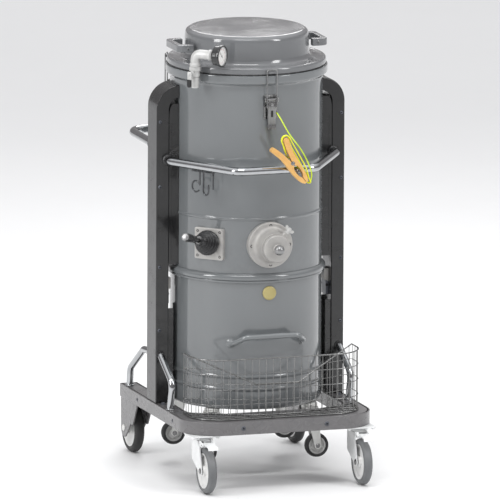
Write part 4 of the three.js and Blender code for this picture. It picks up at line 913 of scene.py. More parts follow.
# ---- Earth clamp and its lead ----
@dataclass
class EarthClamp:
    """The orange clamp that hangs on the grab bar, and the earth lead wound on it."""

    pivot: Pair = (38.0, 985.0)
    lean: float = -54.2
    back: float = -318.0
    thick: float = 18.0
    lead_r: float = 2.0
    lead_back: float = -314.3
    lead_length: float = 1.1
    drape: tuple[Point, ...] = (
        (17, -236.3, 1124), (17, -242.3, 1124), (22, -252, 1114), (44, -285, 1064), (70, -318, 1021),
        (91, -328, 977),
        (100, -328, 947),
    )
    turns: tuple[Point, ...] = ((31, 9, 4), (23, 4.5, 9))

    def place(self) -> Matrix:
        """The clamp's own axes: X along the jaw, Z across it."""
        return at(self.pivot[0], 0, self.pivot[1]) @ Matrix.Rotation(-math.radians(self.lean), 4, "Y")

    def on_clamp(self, along: float, across: float, y: float) -> Vector:
        """A point given along and across the clamp."""
        spot = self.place() @ Vector((along, 0, across))
        return Vector((spot.x, y, spot.z))

    def wound(self) -> list[Point]:
        """The lead's turns round the upper half, along, across and Y for each point."""
        b, out = self.lead_back, []
        for bulge, layer, back in self.turns:
            y = self.back - layer
            out += [(83, 11, y), (83, 5, b - 4), (70, 4 + back * 0.5, b), (40, 4 + back, b), (5, 4 + back, b),
                    (-20, 1, b), (-38, 2.5, y), (-60, 9.5, y), (-75, 14, y), (-82, 25, y), (-76, 37, y),
                    (-40, bulge + 4, y), (0, bulge, y), (38, bulge - 5, y), (68, 16, y)]
        return out + [(83, 11, self.back - 14), (83, 6, b - 4), (70, 9, b), (40, 17, b), (6, 18, b),
                      (-16, 14, b)]

    def lead_line(self) -> list[Vector]:
        """The lead's centre line from its stud to its end on the clamp."""
        points = [Vector(p) for p in self.drape] + [self.on_clamp(*p) for p in self.wound()]
        return [points[0], *smooth_line(points[1:], 5)]

    def lead(self) -> bpy.types.Object:
        """Makes the lead, yellow with a green stripe, and logs its length."""
        line = self.lead_line()
        shape = Shape().bar(line, self.lead_r, 12, stripe=4)
        made = shape.piece("earth_lead_cord", [LEAD_YELLOW, LEAD_GREEN], "root", ["earth_lead"], angle=60)
        shift = Vector((0, DATUM.axis_y, 0))
        path = [(p + shift) * TO_METRES for p in line]
        length = sum((b - a).length for a, b in zip(path, path[1:]))
        LOG.info("the lead is %.4f m long", length)
        return made

    def half(self, name: str, side: int, body: str, node: str) -> bpy.types.Object:
        """Makes one half of the clamp: its moulded lever, its lining and the teeth of its jaw."""
        outline = [(-77, 27, 4), (-75, 18.5, 4), (-60, 13.2, 5), (-38, 6.8, 7), (-22, 4.6, 4), (-6, 0.8, 2),
                   (9, 0.8, 2),
                   (15, 7.5, 4), (30, 9, 6), (46, 7, 5), (56, 0.8, 2), (74, 0.8, 1)]
        outline += ([(75, 5, 2), (63, 13, 7), (38, 15.4, 8), (12, 18.2, 8), (-12, 19, 8), (-32, 21.5, 10),
                     (-72, 33, 4)]
                    if side > 0 else
                    [(75, 6, 2), (64, 14.5, 7), (38, 19.5, 8), (14, 21.5, 8), (-12, 21.5, 8),
                     (-34, 23.5, 10), (-72, 34, 4)])
        face = self.place() @ OUTWARD
        low, high = -self.back, -self.back + self.thick
        body_line = [(s, n * side) for s, n in soften(outline, 4, closed=True)]
        shape = Shape().slab(body_line, low + 0.2, high - 0.2, face, 0)
        made = shape.piece(name, CLAMP_ORANGE, body, [node], edge=2.2)
        trim = Shape()
        web = [(-66, 25.4), (-34, 15.4), (-12, 11.4), (10, 11.4), (34, 12), (56, 8.6), (56, 7.4), (34, 10.6),
               (10, 10), (-12, 10), (-34, 13.8), (-66, 23.6)]
        trim.slab([(s, n * side) for s, n in web], high - 0.4, high + 0.3, face, 0)
        for k in range(5):
            s = -62 + k * 6
            n = 20.0 - k * 1.7
            trim.bar([Vector((s - 0.5, n * side, high)), Vector((s + 1.5, (n + 5.5) * side, high))], 0.7, 8,
                     face, 0)
        for k in range(5):
            s = 56 + k * 3.6
            trim.slab([(s, 0.8 * side), (s + 2.2, 0.8 * side), (s + 2.2, 3.6 * side), (s, 3.6 * side)],
                      low + 4,
                      high - 4, face, 1)
        trim.piece(name + "_trim", [CLAMP_ORANGE, COPPER], body, slot="clamp_orange", edge=0.2)
        return made

    def spring(self) -> None:
        """Makes the coil spring, its arms and the pivot's rivet."""
        face = self.place() @ OUTWARD
        low, high = -self.back, -self.back + self.thick
        coil = []
        for k in range(97):
            a = 2 * math.pi * k / 16
            coil.append(Vector((31 + 4.6 * math.cos(a), 4.6 * math.sin(a),
                                low + 2.5 + (self.thick - 5) * k / 96)))
        shape = Shape().bar(coil, 0.9, 8, face, 0)
        shape.turned([(0, low - 0.6), (6.0, low - 0.6, 0.4), (6.0, low + 0.6, 0.4), (4.2, low + 0.8),
                      (4.2, high - 0.8),
                      (6.4, high - 0.5, 0.4), (6.4, high + 0.9, 0.8), (3.0, high + 1.7, 0.6),
                      (0, high + 1.7)], face,
                     28, 0)
        arm = [Vector((31, 4.6, low + 3.5)), Vector((40, 5.2, low + 6)), Vector((45, 3.6, low + 9))]
        shape.bar(arm, 0.9, 8, face, 0)
        shape.bar([Vector((v.x, v.y * -1, v.z)) for v in arm], 0.9, 8, face, 0)
        shape.piece("clamp_spring", STEEL, "root", slot="bright_steel")

    def terminal(self) -> None:
        """Makes the stud, the lead's ring terminal, the nut on the stud and a rubber cap on its end."""
        stud = at(17, 0, 1124) @ OUTWARD
        shape = Shape().turned([(0, 229), (4, 229), (4, 236, 0.6), (0, 236)], stud, 24, 0)
        shape.turned([(0, 231.2), (7.4, 231.2), (7.4, 232.6), (0, 232.6)], stud, 24, 0)
        shape.turned([(0, 232.6), (6.4, 232.6), (6.4, 235.4), (5.6, 235.9), (0, 235.9)], stud, 6, 0)
        shape.turned([(0, 235.8), (3.1, 235.8), (3.1, 240.6, 0.5), (0, 240.6)], stud, 20, 1)
        shape.piece("lead_terminal", [STEEL, RUBBER], "root", slot="bright_steel")

    def build(self) -> None:
        """Builds the clamp, then the lead that belongs with it."""
        upper = self.half("clamp_upper", 1, "root", "clamp_half_upper")
        lower = self.half("clamp_lower", -1, "clamp_half_lower", "clamp_half_lower")
        self.spring()
        self.terminal()
        self.lead()


# ---- Wheeled frame ----
@dataclass
class Chassis:
    """The channel-edged frame that everything stands on, with its rear wheel brackets."""

    half: float = 300.0
    leg_in: float = 245.0
    front: float = -391.0
    member_back: float = -250.0
    rear: float = 301.0
    corner_r: float = 115.0
    inner_r: float = 80.0
    low: float = 174.0
    high: float = 214.0
    axle: Pair = (300.0, 75.0)
    rim: float = 4.0
    gap: float = 8.0

    def outline(self, inset: float) -> list[Pair]:
        """The frame's plan, moved inwards by an inset."""
        corner = (self.half - self.corner_r, self.front + self.corner_r)
        inner = (self.leg_in - self.inner_r, self.member_back + self.inner_r)
        r, q = self.corner_r - inset, self.inner_r + inset
        return [
            (-self.half + inset, self.rear - inset),
            *arc(-corner[0], corner[1], r, 180, 270, 18),
            *arc(corner[0], corner[1], r, 270, 360, 18),
            (self.half - inset, self.rear - inset),
            (self.leg_in + inset, self.rear - inset),
            *arc(inner[0], inner[1], q, 360, 270, 14),
            *arc(-inner[0], inner[1], q, 270, 180, 14),
            (-self.leg_in - inset, self.rear - inset),
        ]

    def deck(self) -> None:
        """Makes the raised rim and the deck sunk inside it, with a narrow gap between them over a near-black
        sheet that paints the shade in the gap.
        """
        shape = Shape().band(self.outline(0), self.outline(self.rim), self.low, self.high)
        shape.band(self.outline(self.rim - 0.5), self.outline(self.rim + 12), self.low, self.low + 3)
        shape.piece("frame_rim", FRAME_PAINT, "root", ["chassis_frame"], edge=1.4)
        plate = Shape().slab(self.outline(self.gap), self.high - 9, self.high - 0.2, mark=0)
        # A near-black sheet under the deck, seen through the gap round it: painted shade.
        plate.slab(self.outline(self.rim - 0.5), self.high - 20, self.high - 12, mark=1)
        plate.piece("frame_deck", [FRAME_PAINT, SHADOW], "root", slot="frame_paint", edge=0.8)

    def brackets(self) -> None:
        """Makes the rear wheels' forks: two plates under a roof, with the axle's bolt through them."""
        y, z = self.axle
        front, back = y - 129, y + 32
        plate = soften([(back, 178, 1), (front, 178, 1), (front + 2, 165, 6), (y - 81, 92, 16)], 5,
                       closed=True)
        plate += [*arc(y, z, 28, 232, 350, 18)]
        for side, sign in SIDES:
            shape = Shape()
            for x0, x1 in ((283, 287), (236, 240)):
                shape.slab(plate, min(sign * x0, sign * x1), max(sign * x0, sign * x1), ALONG_X)
            low_x, high_x = sorted((sign * 236, sign * 287))
            shape.box((low_x, front, 171.7), (high_x, back, 179.4))
            shape.box((min(sign * 240, sign * 283), back - 4, 138), (max(sign * 240, sign * 283), back, 174))
            shape.piece(f"rear_bracket_{side}", FRAME_PAINT, "root", slot="frame_paint", edge=1.2)
            bolts = Shape()
            bolts.bar([Vector((sign * 236, y, z)), Vector((sign * 287, y, z))], 8, 24)
            out = at(sign * 287, y, z) @ (SIDEWAYS if sign > 0 else SIDEWAYS.inverted())
            bolts.turned([(0, -0.5), (10.5, -0.5), (10.5, 1.6, 0.6), (8.6, 3.4, 1.4), (4, 4, 1), (0, 4)],
                         out, 32)
            back_side = at(sign * 236, y, z) @ (SIDEWAYS.inverted() if sign > 0 else SIDEWAYS)
            hex_bolt(bolts, back_side, 9, 6)
            bolts.piece(f"rear_axle_{side}", ZINC, "root", slot="zinc_steel", edge=0.3)

    def fasteners(self) -> None:
        """Makes the bolts in the frame's front, and the ones that hold the columns' feet."""
        shape = Shape()
        for x in (-132, 132):
            button_head(shape, at(x, self.front, 194) @ OUTWARD, 7, 3.0, 0, 1)
        for sign in (-1, 1):
            for y in (-60, 60):
                hex_bolt(shape, at(sign * 279, y, self.high - 0.2), 6.5, 4.5)
            for y in (-215, 130):
                button_head(shape, at(sign * 300, y, 194) @ (SIDEWAYS if sign > 0 else SIDEWAYS.inverted()),
                            6, 1.5, 0, 1)
        shape.piece("frame_bolts", [BOLT, SHADOW], "root", slot="bright_steel")

    def build(self) -> None:
        """Builds the frame."""
        self.deck()
        self.brackets()
        self.fasteners()


@dataclass
class Wheel:
    """A wheel: a tyre pressed on a rim with a ribbed web."""

    radius: float
    width: float
    bore: float
    tyre: Finish
    rim: Finish
    tyre_depth: float = 19.0
    ribs: int = 6

    def shape(self, place: Matrix) -> Shape:
        """The wheel's solids, its axis along the place's own Z: the tyre's finish first, then the rim's."""
        r, h, inner = self.radius, self.width / 2, self.radius - self.tyre_depth
        tyre = [(inner, -h * 0.74, 1), (inner + 4, -h * 0.96, 2), (r - 8, -h * 0.97, 5),
                (r - 1.2, -h * 0.60, 5),
                (r, 0, 6), (r - 1.2, h * 0.60, 5), (r - 8, h * 0.97, 5), (inner + 4, h * 0.96, 2),
                (inner, h * 0.74, 1)]
        shape = Shape().turned(tyre, place, 56, 0, 4)
        for side in (-1, 1):
            shape.turned([(inner + 7, side * h * 0.95), (inner + 8, side * h * 0.995, 0.3),
                          (inner + 9, side * h * 0.95)], place, 56, 0)
        hub = self.bore + self.radius * 0.13
        rim = []
        for side in (-1, 1):
            run = [(self.bore, h * 0.97, 0.6), (hub, h * 0.97, 1.2), (hub + 1, h * 0.45, 1.5),
                   (inner - 8, h * 0.38, 2.5), (inner - 4, h * 0.78, 1.5), (inner + 0.4, h * 0.86, 0.8)]
            rim += [(a, side * b, c) for a, b, c in (run if side < 0 else reversed(run))]
        shape.turned(rim, place, 56, 1)
        for k in range(self.ribs):
            turn = place @ Matrix.Rotation(2 * math.pi * k / self.ribs, 4, "Z")
            shape.box((hub - 1, -1.4, -h * 0.62), (inner - 5, 1.4, h * 0.62), turn, 1)
        return shape

    def build(self, name: str, body: str, node: str, place: Matrix) -> None:
        """Builds the wheel in place of its node."""
        self.shape(place).piece(name, [self.tyre, self.rim], body, [node], angle=40)


@dataclass
class Caster:
    """A swivelling caster: its head, its pressed fork and its wheel."""

    wheel: Wheel
    trail: float
    head_r: float
    head_height: float
    leg: float
    axle_r: float
    top: float
    axle_z: float
    finish: Finish
    skirt: float = 0.0

    def reach(self) -> float:
        """How far out the inner faces of the fork's legs are."""
        return self.wheel.width / 2 + 3

    def fork(self, place: Matrix, extra: Callable[[Shape], None] | None = None) -> Shape:
        """The fork's solids about its swivel axis."""
        low, reach = self.top - self.head_height, self.reach()
        wide = self.head_r * 0.9
        eye = self.axle_r + 6
        leg = [(self.skirt, low - 1),
               *arc(self.skirt - 14, self.axle_z + 34, 14, 0, -50, 6)] if self.skirt else soften(
            [(wide, low - 1, 3), (wide * 0.72, low - self.head_r * 0.75, 8)], 4)
        leg += [*arc(-self.trail, self.axle_z, eye, 310 if self.skirt else 350, 190, 14)]
        leg += soften([(-wide - eye * 0.3, low - self.head_r * 0.55, 8), (-wide, low - 1, 3)], 4)
        shape = Shape()
        for side in (-1, 1):
            edges = sorted((side * reach, side * (reach + self.leg)))
            shape.slab(leg, edges[0], edges[1], place @ ALONG_X, 0)
        crown = soften([(-reach - self.leg, -wide, 4), (reach + self.leg, -wide, 4),
                        (reach + self.leg, wide, 12),
                        (-reach - self.leg, wide, 12)], 5, closed=True)
        shape.slab(crown, low - self.leg, low, place, 0)
        shape.turned([(0, low - 1), (self.head_r * 0.78, low - 1, 1), (self.head_r * 0.97, low + 1.2, 1.5),
                      (self.head_r * 0.97, low + self.head_height * 0.40, 1), (self.head_r * 0.86,
                      low + self.head_height * 0.5, 0.5), (self.head_r, low + self.head_height * 0.62, 1),
                      (self.head_r, self.top - 1.4, 1), (self.head_r * 0.9, self.top - 0.4),
                      (0, self.top - 0.4)],
                     place, 48, 0)
        for side in (-1, 1):
            out = place @ at(side * (reach + self.leg), -self.trail, self.axle_z)
            out = out @ (SIDEWAYS if side > 0 else SIDEWAYS.inverted())
            hex_bolt(shape, out, self.axle_r + 1.4, 2.6 if self.wheel.radius > 50 else 2.0, 1)
        shape.bar([Vector((-reach - 0.5, -self.trail, self.axle_z)),
                   Vector((reach + 0.5, -self.trail, self.axle_z))],
                  self.axle_r - 0.3, 20, place, 1)
        if extra:
            extra(shape)
        return shape

    def build(self, names: tuple[str, str], nodes: tuple[str, str], place: Matrix,
              extra: Callable[[Shape], None] | None = None) -> None:
        """Builds the fork and the wheel.

        Args:
            names: the names of the fork's piece and the wheel's piece.
            nodes: their nodes, which are also the bodies that they ride on.
            place: the swivel axis at floor height.
            extra: adds more solids to the fork.
        """
        self.fork(place, extra).piece(names[0], [self.finish, STEEL], nodes[0], [nodes[0]], edge=0.7)
        hub = place @ at(0, -self.trail, self.axle_z) @ SIDEWAYS
        self.wheel.build(names[1], nodes[1], nodes[1], hub)


@dataclass
class RunningGear:
    """All the wheels: fixed ones at the back, braked casters at the front, small ones under the container."""

    rear_x: float = 258.0
    rear_axle: Pair = (300.0, 75.0)
    front_at: Pair = (246.0, -340.0)
    bin_at: float = 155.0
    pedal: Pair = (-56.0, 151.0)

    def rear(self) -> None:
        """Builds the two fixed wheels."""
        wheel = Wheel(75, 32, 8.8, BLACK_TYRE, WHITE_RIM, 18, 0)
        for side, sign in SIDES:
            place = at(sign * self.rear_x, *self.rear_axle) @ SIDEWAYS
            wheel.build(f"wheel_rear_{side}", f"rear_wheel_{side}", f"rear_wheel_{side}", place)

    def brake_arms(self, place: Matrix) -> Callable[[Shape], None]:
        """What adds the brake's arms and its hinge pin to a fork."""
        y, z = self.pedal

        def add(shape: Shape) -> None:
            """Adds the two arms and the pin."""
            arm = soften([(-27, 161, 2), (-27, z - 4, 6), (y - 4, z - 7, 4), (y - 7, z, 4),
                          (y - 4, z + 6.5, 4),
                          (-34, 161, 4)], 4, closed=True)
            for side in (-1, 1):
                edges = sorted((side * 17, side * 20.5))
                shape.slab(arm, edges[0], edges[1], place @ ALONG_X, 0)
            shape.bar([Vector((-21.5, y, z)), Vector((21.5, y, z))], 2.5, 16, place, 1)

        return add

    def brake_pedal(self, side: str, place: Matrix) -> None:
        """Builds a brake's tread, with ribs across it."""
        y, z = self.pedal
        shape = Shape().turned([(3, -16), (6, -16, 0.6), (6, 16, 0.6), (3, 16)],
                               place @ at(0, y, z) @ SIDEWAYS, 24)
        tread = soften([(y - 2, z + 5.6, 1), (y - 30, z + 5.2, 12), (y - 51, z + 2, 3), (y - 56, z - 8, 2),
                        (y - 53, z - 8, 1), (y - 48.5, z - 1.2, 3), (y - 30, z + 2, 12),
                        (y - 2, z + 2.4, 1)], 5,
                       closed=True)
        shape.slab(tread, -15.6, 15.6, place @ ALONG_X)
        for k in range(5):
            rib = y - 22 - k * 5.6
            height = z + 5.2 - max(0, k - 1) * 0.75
            shape.bar([Vector((-12.5, rib, height)), Vector((12.5, rib, height))], 0.9, 8, place)
        shape.piece(f"brake_tread_{side}", WHITE_PLATE, f"brake_pedal_{side}", [f"brake_pedal_{side}"],
                    edge=0.6)

    def front(self) -> None:
        """Builds the two braked casters and the plates that hold them under the frame."""
        caster = Caster(Wheel(70, 28, 6.8, GREY_TYRE, WHITE_RIM, 17, 0), 44, 34, 9, 3.5, 6, 170.2, 70,
                        WHITE_PLATE, 38)
        for side, sign in SIDES:
            place = at(sign * self.front_at[0], self.front_at[1], 0)
            names = (f"caster_bracket_{side}", f"wheel_front_{side}")
            nodes = (f"caster_fork_{side}", f"caster_wheel_{side}")
            caster.build(names, nodes, place, self.brake_arms(place))
            self.brake_pedal(side, place)
            plate = soften([(-46, -42, 8), (46, -42, 8), (46, 42, 8), (-46, 42, 8)], 4, closed=True)
            shape = Shape().slab(plate, 170.4, 173.8, place)
            for x in (-38, 38):
                for y in (-34, 34):
                    hex_bolt(shape, place @ at(x, y, 170.4) @ Matrix.Rotation(math.pi, 4, "X"), 5.5, 4)
            shape.piece(f"caster_plate_{side}", WHITE_PLATE, "root", slot="zinc_steel", edge=0.5)

    def small(self) -> None:
        """Builds the four casters under the container."""
        caster = Caster(Wheel(37, 22, 4.4, BLACK_TYRE, GALVANISED, 11, 5), 22, 24, 9, 2.5, 4, 213.7, 82, ZINC)
        for number, (x, y) in enumerate([(-1, -1), (1, -1), (1, 1), (-1, 1)], 1):
            place = at(x * self.bin_at, y * self.bin_at, 0) @ Matrix.Rotation(x * math.pi / 2, 4, "Z")
            names = (f"small_bracket_{number}", f"wheel_small_{number}")
            caster.build(names, (f"bin_fork_{number}", f"bin_wheel_{number}"), place)

    def build(self) -> None:
        """Builds every wheel."""
        self.rear()
        self.front()
        self.small()


# ---- Columns and bent tubes ----
@dataclass
class Columns:
    """The two black columns with bent tops, and the covers that join them to the drum."""

    inner: float = 258.0
    outer: float = 298.0
    base: float = 214.3
    top: float = 1188.0
    bend_r: float = 75.0
    thick: float = 40.0
    half_depth: float = 45.0
    drum_r: float = 230.0
    bolt_x: float = 287.0
    bolt_z: tuple[float, ...] = (438, 632, 878, 1077)
    guide_reach: Pair = (241.0, 258.4)
    guide_faces: tuple[Pair, ...] = ((-40.0, -37.0), (37.0, 40.0))
    guide_top: float = 504.0
    cover: Pair = (640.0, 1130.0)

    def outline(self, inset: float) -> list[Pair]:
        """A column's outline in X and Z."""
        cx, cz = self.outer - self.bend_r, self.top - self.bend_r
        near = self.drum_r - 3.2
        return [
            (self.inner + inset, self.base), (self.outer - inset, self.base),
            *arc(cx, cz, self.bend_r - inset, 0,
                 math.degrees(math.acos((near - cx) / (self.bend_r - inset))), 20),
            *arc(cx, cz, self.bend_r - self.thick + inset,
                 math.degrees(math.acos((near - cx) / (self.bend_r - self.thick + inset))), 0, 14),
        ]

    def turned_to(self, outline: Sequence[Pair], sign: int) -> list[Pair]:
        """An outline on one side of the machine."""
        return [(x * sign, z) for x, z in outline]

    def column(self, side: str, sign: int) -> None:
        """Builds one column: a pressed channel with broken edges, its guide strips and its bolts."""
        d = self.half_depth
        shape = Shape().slab(self.turned_to(self.outline(0), sign), -d, d, OUTWARD)
        shape.piece(f"column_channel_{side}", COLUMN_PAINT, "root", [f"column_{side}"], edge=3.2)
        strips = Shape()
        near, far = sorted(sign * x for x in self.guide_reach)
        for y0, y1 in self.guide_faces:
            strips.box((near, y0, self.base), (far, y1, self.guide_top))
        strips.piece(f"guide_strips_{side}", COLUMN_PAINT, "root", slot="column_paint", edge=0.6)
        bolts = Shape()
        for z in self.bolt_z:
            for face in (-1, 1):
                place = at(sign * self.bolt_x, face * d, z) @ (OUTWARD if face < 0 else OUTWARD.inverted())
                button_head(bolts, place, 5.2, 2.6, 0, 1)
        bolts.piece(f"column_bolts_{side}", [BOLT, SHADOW], "root", slot="bright_steel")

    def cover_plate(self, side: str, sign: int) -> None:
        """Builds the cover between a column and the drum, with a seam strip down each face."""
        low, high = self.cover
        outer = self.inner - 0.4
        outline = soften([(self.drum_r - 4, low, 0), (outer, low, 3), (outer, high, 40),
                          (self.drum_r - 4, high, 0)], 10,
                         closed=True)
        depth = self.half_depth - 2
        shape = Shape().slab(self.turned_to(outline, sign), -depth, depth, OUTWARD)
        shape.piece(f"side_cover_{side}", COLUMN_PAINT, "root", [f"column_cover_{side}"], edge=2.4)
        seam = Shape()
        for face in (-1, 1):
            edges = sorted((sign * (outer - 9), sign * (outer - 6.5)))
            y = sorted((face * depth, face * (depth + 0.7)))
            seam.box((edges[0], y[0], low + 12), (edges[1], y[1], high - 60))
        seam.piece(f"side_cover_seam_{side}", COLUMN_PAINT, "root", slot="column_paint", edge=0.3)

    def lift_hook(self, side: str, sign: int) -> None:
        """Builds the hook that lifts the container: a light block over a holed plate, with near-black discs
        at the pin's ends painted as the shade of its holes.
        """
        shape = Shape()
        x = sorted((sign * 249, sign * 257.6))
        plate = Shape().slab(soften([(-19, 515, 3), (19, 515, 3), (19, 575, 3), (-19, 575, 3)], 3,
                                    closed=True), x[0],
                             x[1], ALONG_X)
        plate.piece(f"hook_plate_{side}", BOLT, "root", slot="zinc_steel", edge=1.0)
        claw = soften([(243.4, 561, 1.5), (253, 558, 2), (257.6, 556, 1), (257.6, 595, 2), (243.4, 595, 3)],
                      3, closed=True)
        shape.slab(self.turned_to(claw, sign), -19.6, 19.6, OUTWARD)
        shape.piece(f"hook_block_{side}", CAST, "root", [f"lift_hook_{side}"], edge=1.2)
        pin = Shape()
        for y in (-19.2, 19.2):
            place = at(sign * 252.5, y, 545) @ (OUTWARD if y < 0 else OUTWARD.inverted())
            pin.turned([(0, -1), (4.2, -1), (4.2, 1.2, 0.4), (0, 1.2)], place, 20)
        # The pin's ends take the near-black finish: painted shade in the plate's holes.
        pin.piece(f"hook_pin_{side}", SHADOW, "root", slot="zinc_steel")

    def build(self) -> None:
        """Builds both sides."""
        for side, sign in SIDES:
            self.column(side, sign)
            self.cover_plate(side, sign)
            self.lift_hook(side, sign)


@dataclass
class Tubes:
    """The bent tubes: side braces, the grab bar round the front, the push bar behind and the hose hooks."""

    brace_r: float = 10.5
    bar_r: float = 13.0
    wire_r: float = 2.5
    hook_at: Point = (-195.75, -181.9, 944.2)
    hook_turn: Pair = (-227.2, 140.5)

    def braces(self) -> None:
        """Builds the two braces and the flanges at their feet."""
        for side, sign in SIDES:
            points = [(-142, 214.3), (-166, 297.3), (-45, 363.3), (117, 351.3), (250, 268.3), (255, 214.3)]
            line = rounded([(sign * 283, y, z) for y, z in points], 40, 10)
            shape = Shape().bar(line, self.brace_r, 24)
            for y in (-142, 255):
                foot = at(sign * 283, y, 214)
                ring = [(self.brace_r - 1, 0), (self.brace_r + 3.4, 0, 0.6), (self.brace_r + 2.8, 3.4, 1.2),
                        (self.brace_r - 1, 4.6)]
                shape.turned(ring, foot, 32)
            shape.piece(f"brace_{side}", CHROME, "root", [f"brace_tube_{side}"])
            bush = Shape()
            for y in (-45, 45):
                z = 363.3 if y < 0 else 356.6
                place = at(sign * 283, y, z) @ (OUTWARD if y < 0 else OUTWARD.inverted())
                bush.turned([(self.brace_r - 1, -1), (self.brace_r + 3.6, -1), (self.brace_r + 3.2, 2.6, 1),
                             (self.brace_r - 1, 3)],
                            place, 28)
            bush.piece(f"brace_bush_{side}", RUBBER, "root", slot="black_rubber")

    def bars(self) -> None:
        """Builds the grab bar and the push bar with their bushes."""
        run = [(262, -45.3, 960), (262, -70.3, 960), (121.5, -297.5, 960)]
        points = [(-x, y, z) for x, y, z in run] + [tuple(p) for p in reversed(run)]
        Shape().bar(rounded(points, 40, 12), self.bar_r, 32).piece("front_bar", CHROME, "root", ["grab_bar"])
        back = [(-280, 45.3, 995), (-280, 290, 995), (280, 290, 995), (280, 45.3, 995)]
        Shape().bar(rounded(back, 70, 14), self.bar_r, 32).piece("rear_bar", CHROME, "root", ["push_bar"])
        bush = Shape()
        ring = [(self.bar_r - 1, -1), (self.bar_r + 5, -1), (self.bar_r + 5, 3, 1.5),
                (self.bar_r + 1.4, 7, 1.5),
                (self.bar_r - 1, 7)]
        for sign in (-1, 1):
            bush.turned(ring, at(sign * 262, -45, 960) @ OUTWARD, 36)
            bush.turned(ring, at(sign * 280, 45, 995) @ OUTWARD.inverted(), 36)
        bush.piece("bar_bushes", RUBBER, "root", slot="black_rubber")

    def hooks(self) -> None:
        """Builds the wire hooks for a hose."""
        place = at(*self.hook_at) @ Matrix.Rotation(math.atan2(*self.hook_turn), 4, "Z")
        shape = Shape().bar([Vector((-44, 0, 0)), Vector((44, 0, 0))], self.wire_r, 14, place)
        ring = [(-12, 0, 1), (-12, 0, -40),
                *[(-27 + 15 * x, 0, -47 + 17 * y) for x, y in arc(0, 0, 1, 20, 320, 16)]]
        shape.bar([Vector(p) for p in ring], self.wire_r, 14, place)
        crook = [(2, 0, 1), (2, 0, -56),
                 *[(12 + 10 * x, 0, -56 + 14 * y) for x, y in arc(0, 0, 1, 180, 360, 12)], (22, 0, -36)]
        shape.bar([Vector(p) for p in crook], self.wire_r, 14, place)
        shape.bar(rounded([(26, 0, -1), (40, 0, -1), (40, 0, -50)], 6, 6), self.wire_r * 0.8, 14, place)
        shape.piece("hose_hooks", HOOK_WIRE, "root", ["hose_hook"], angle=50)

    def build(self) -> None:
        """Builds every tube."""
        self.braces()
        self.bars()
        self.hooks()


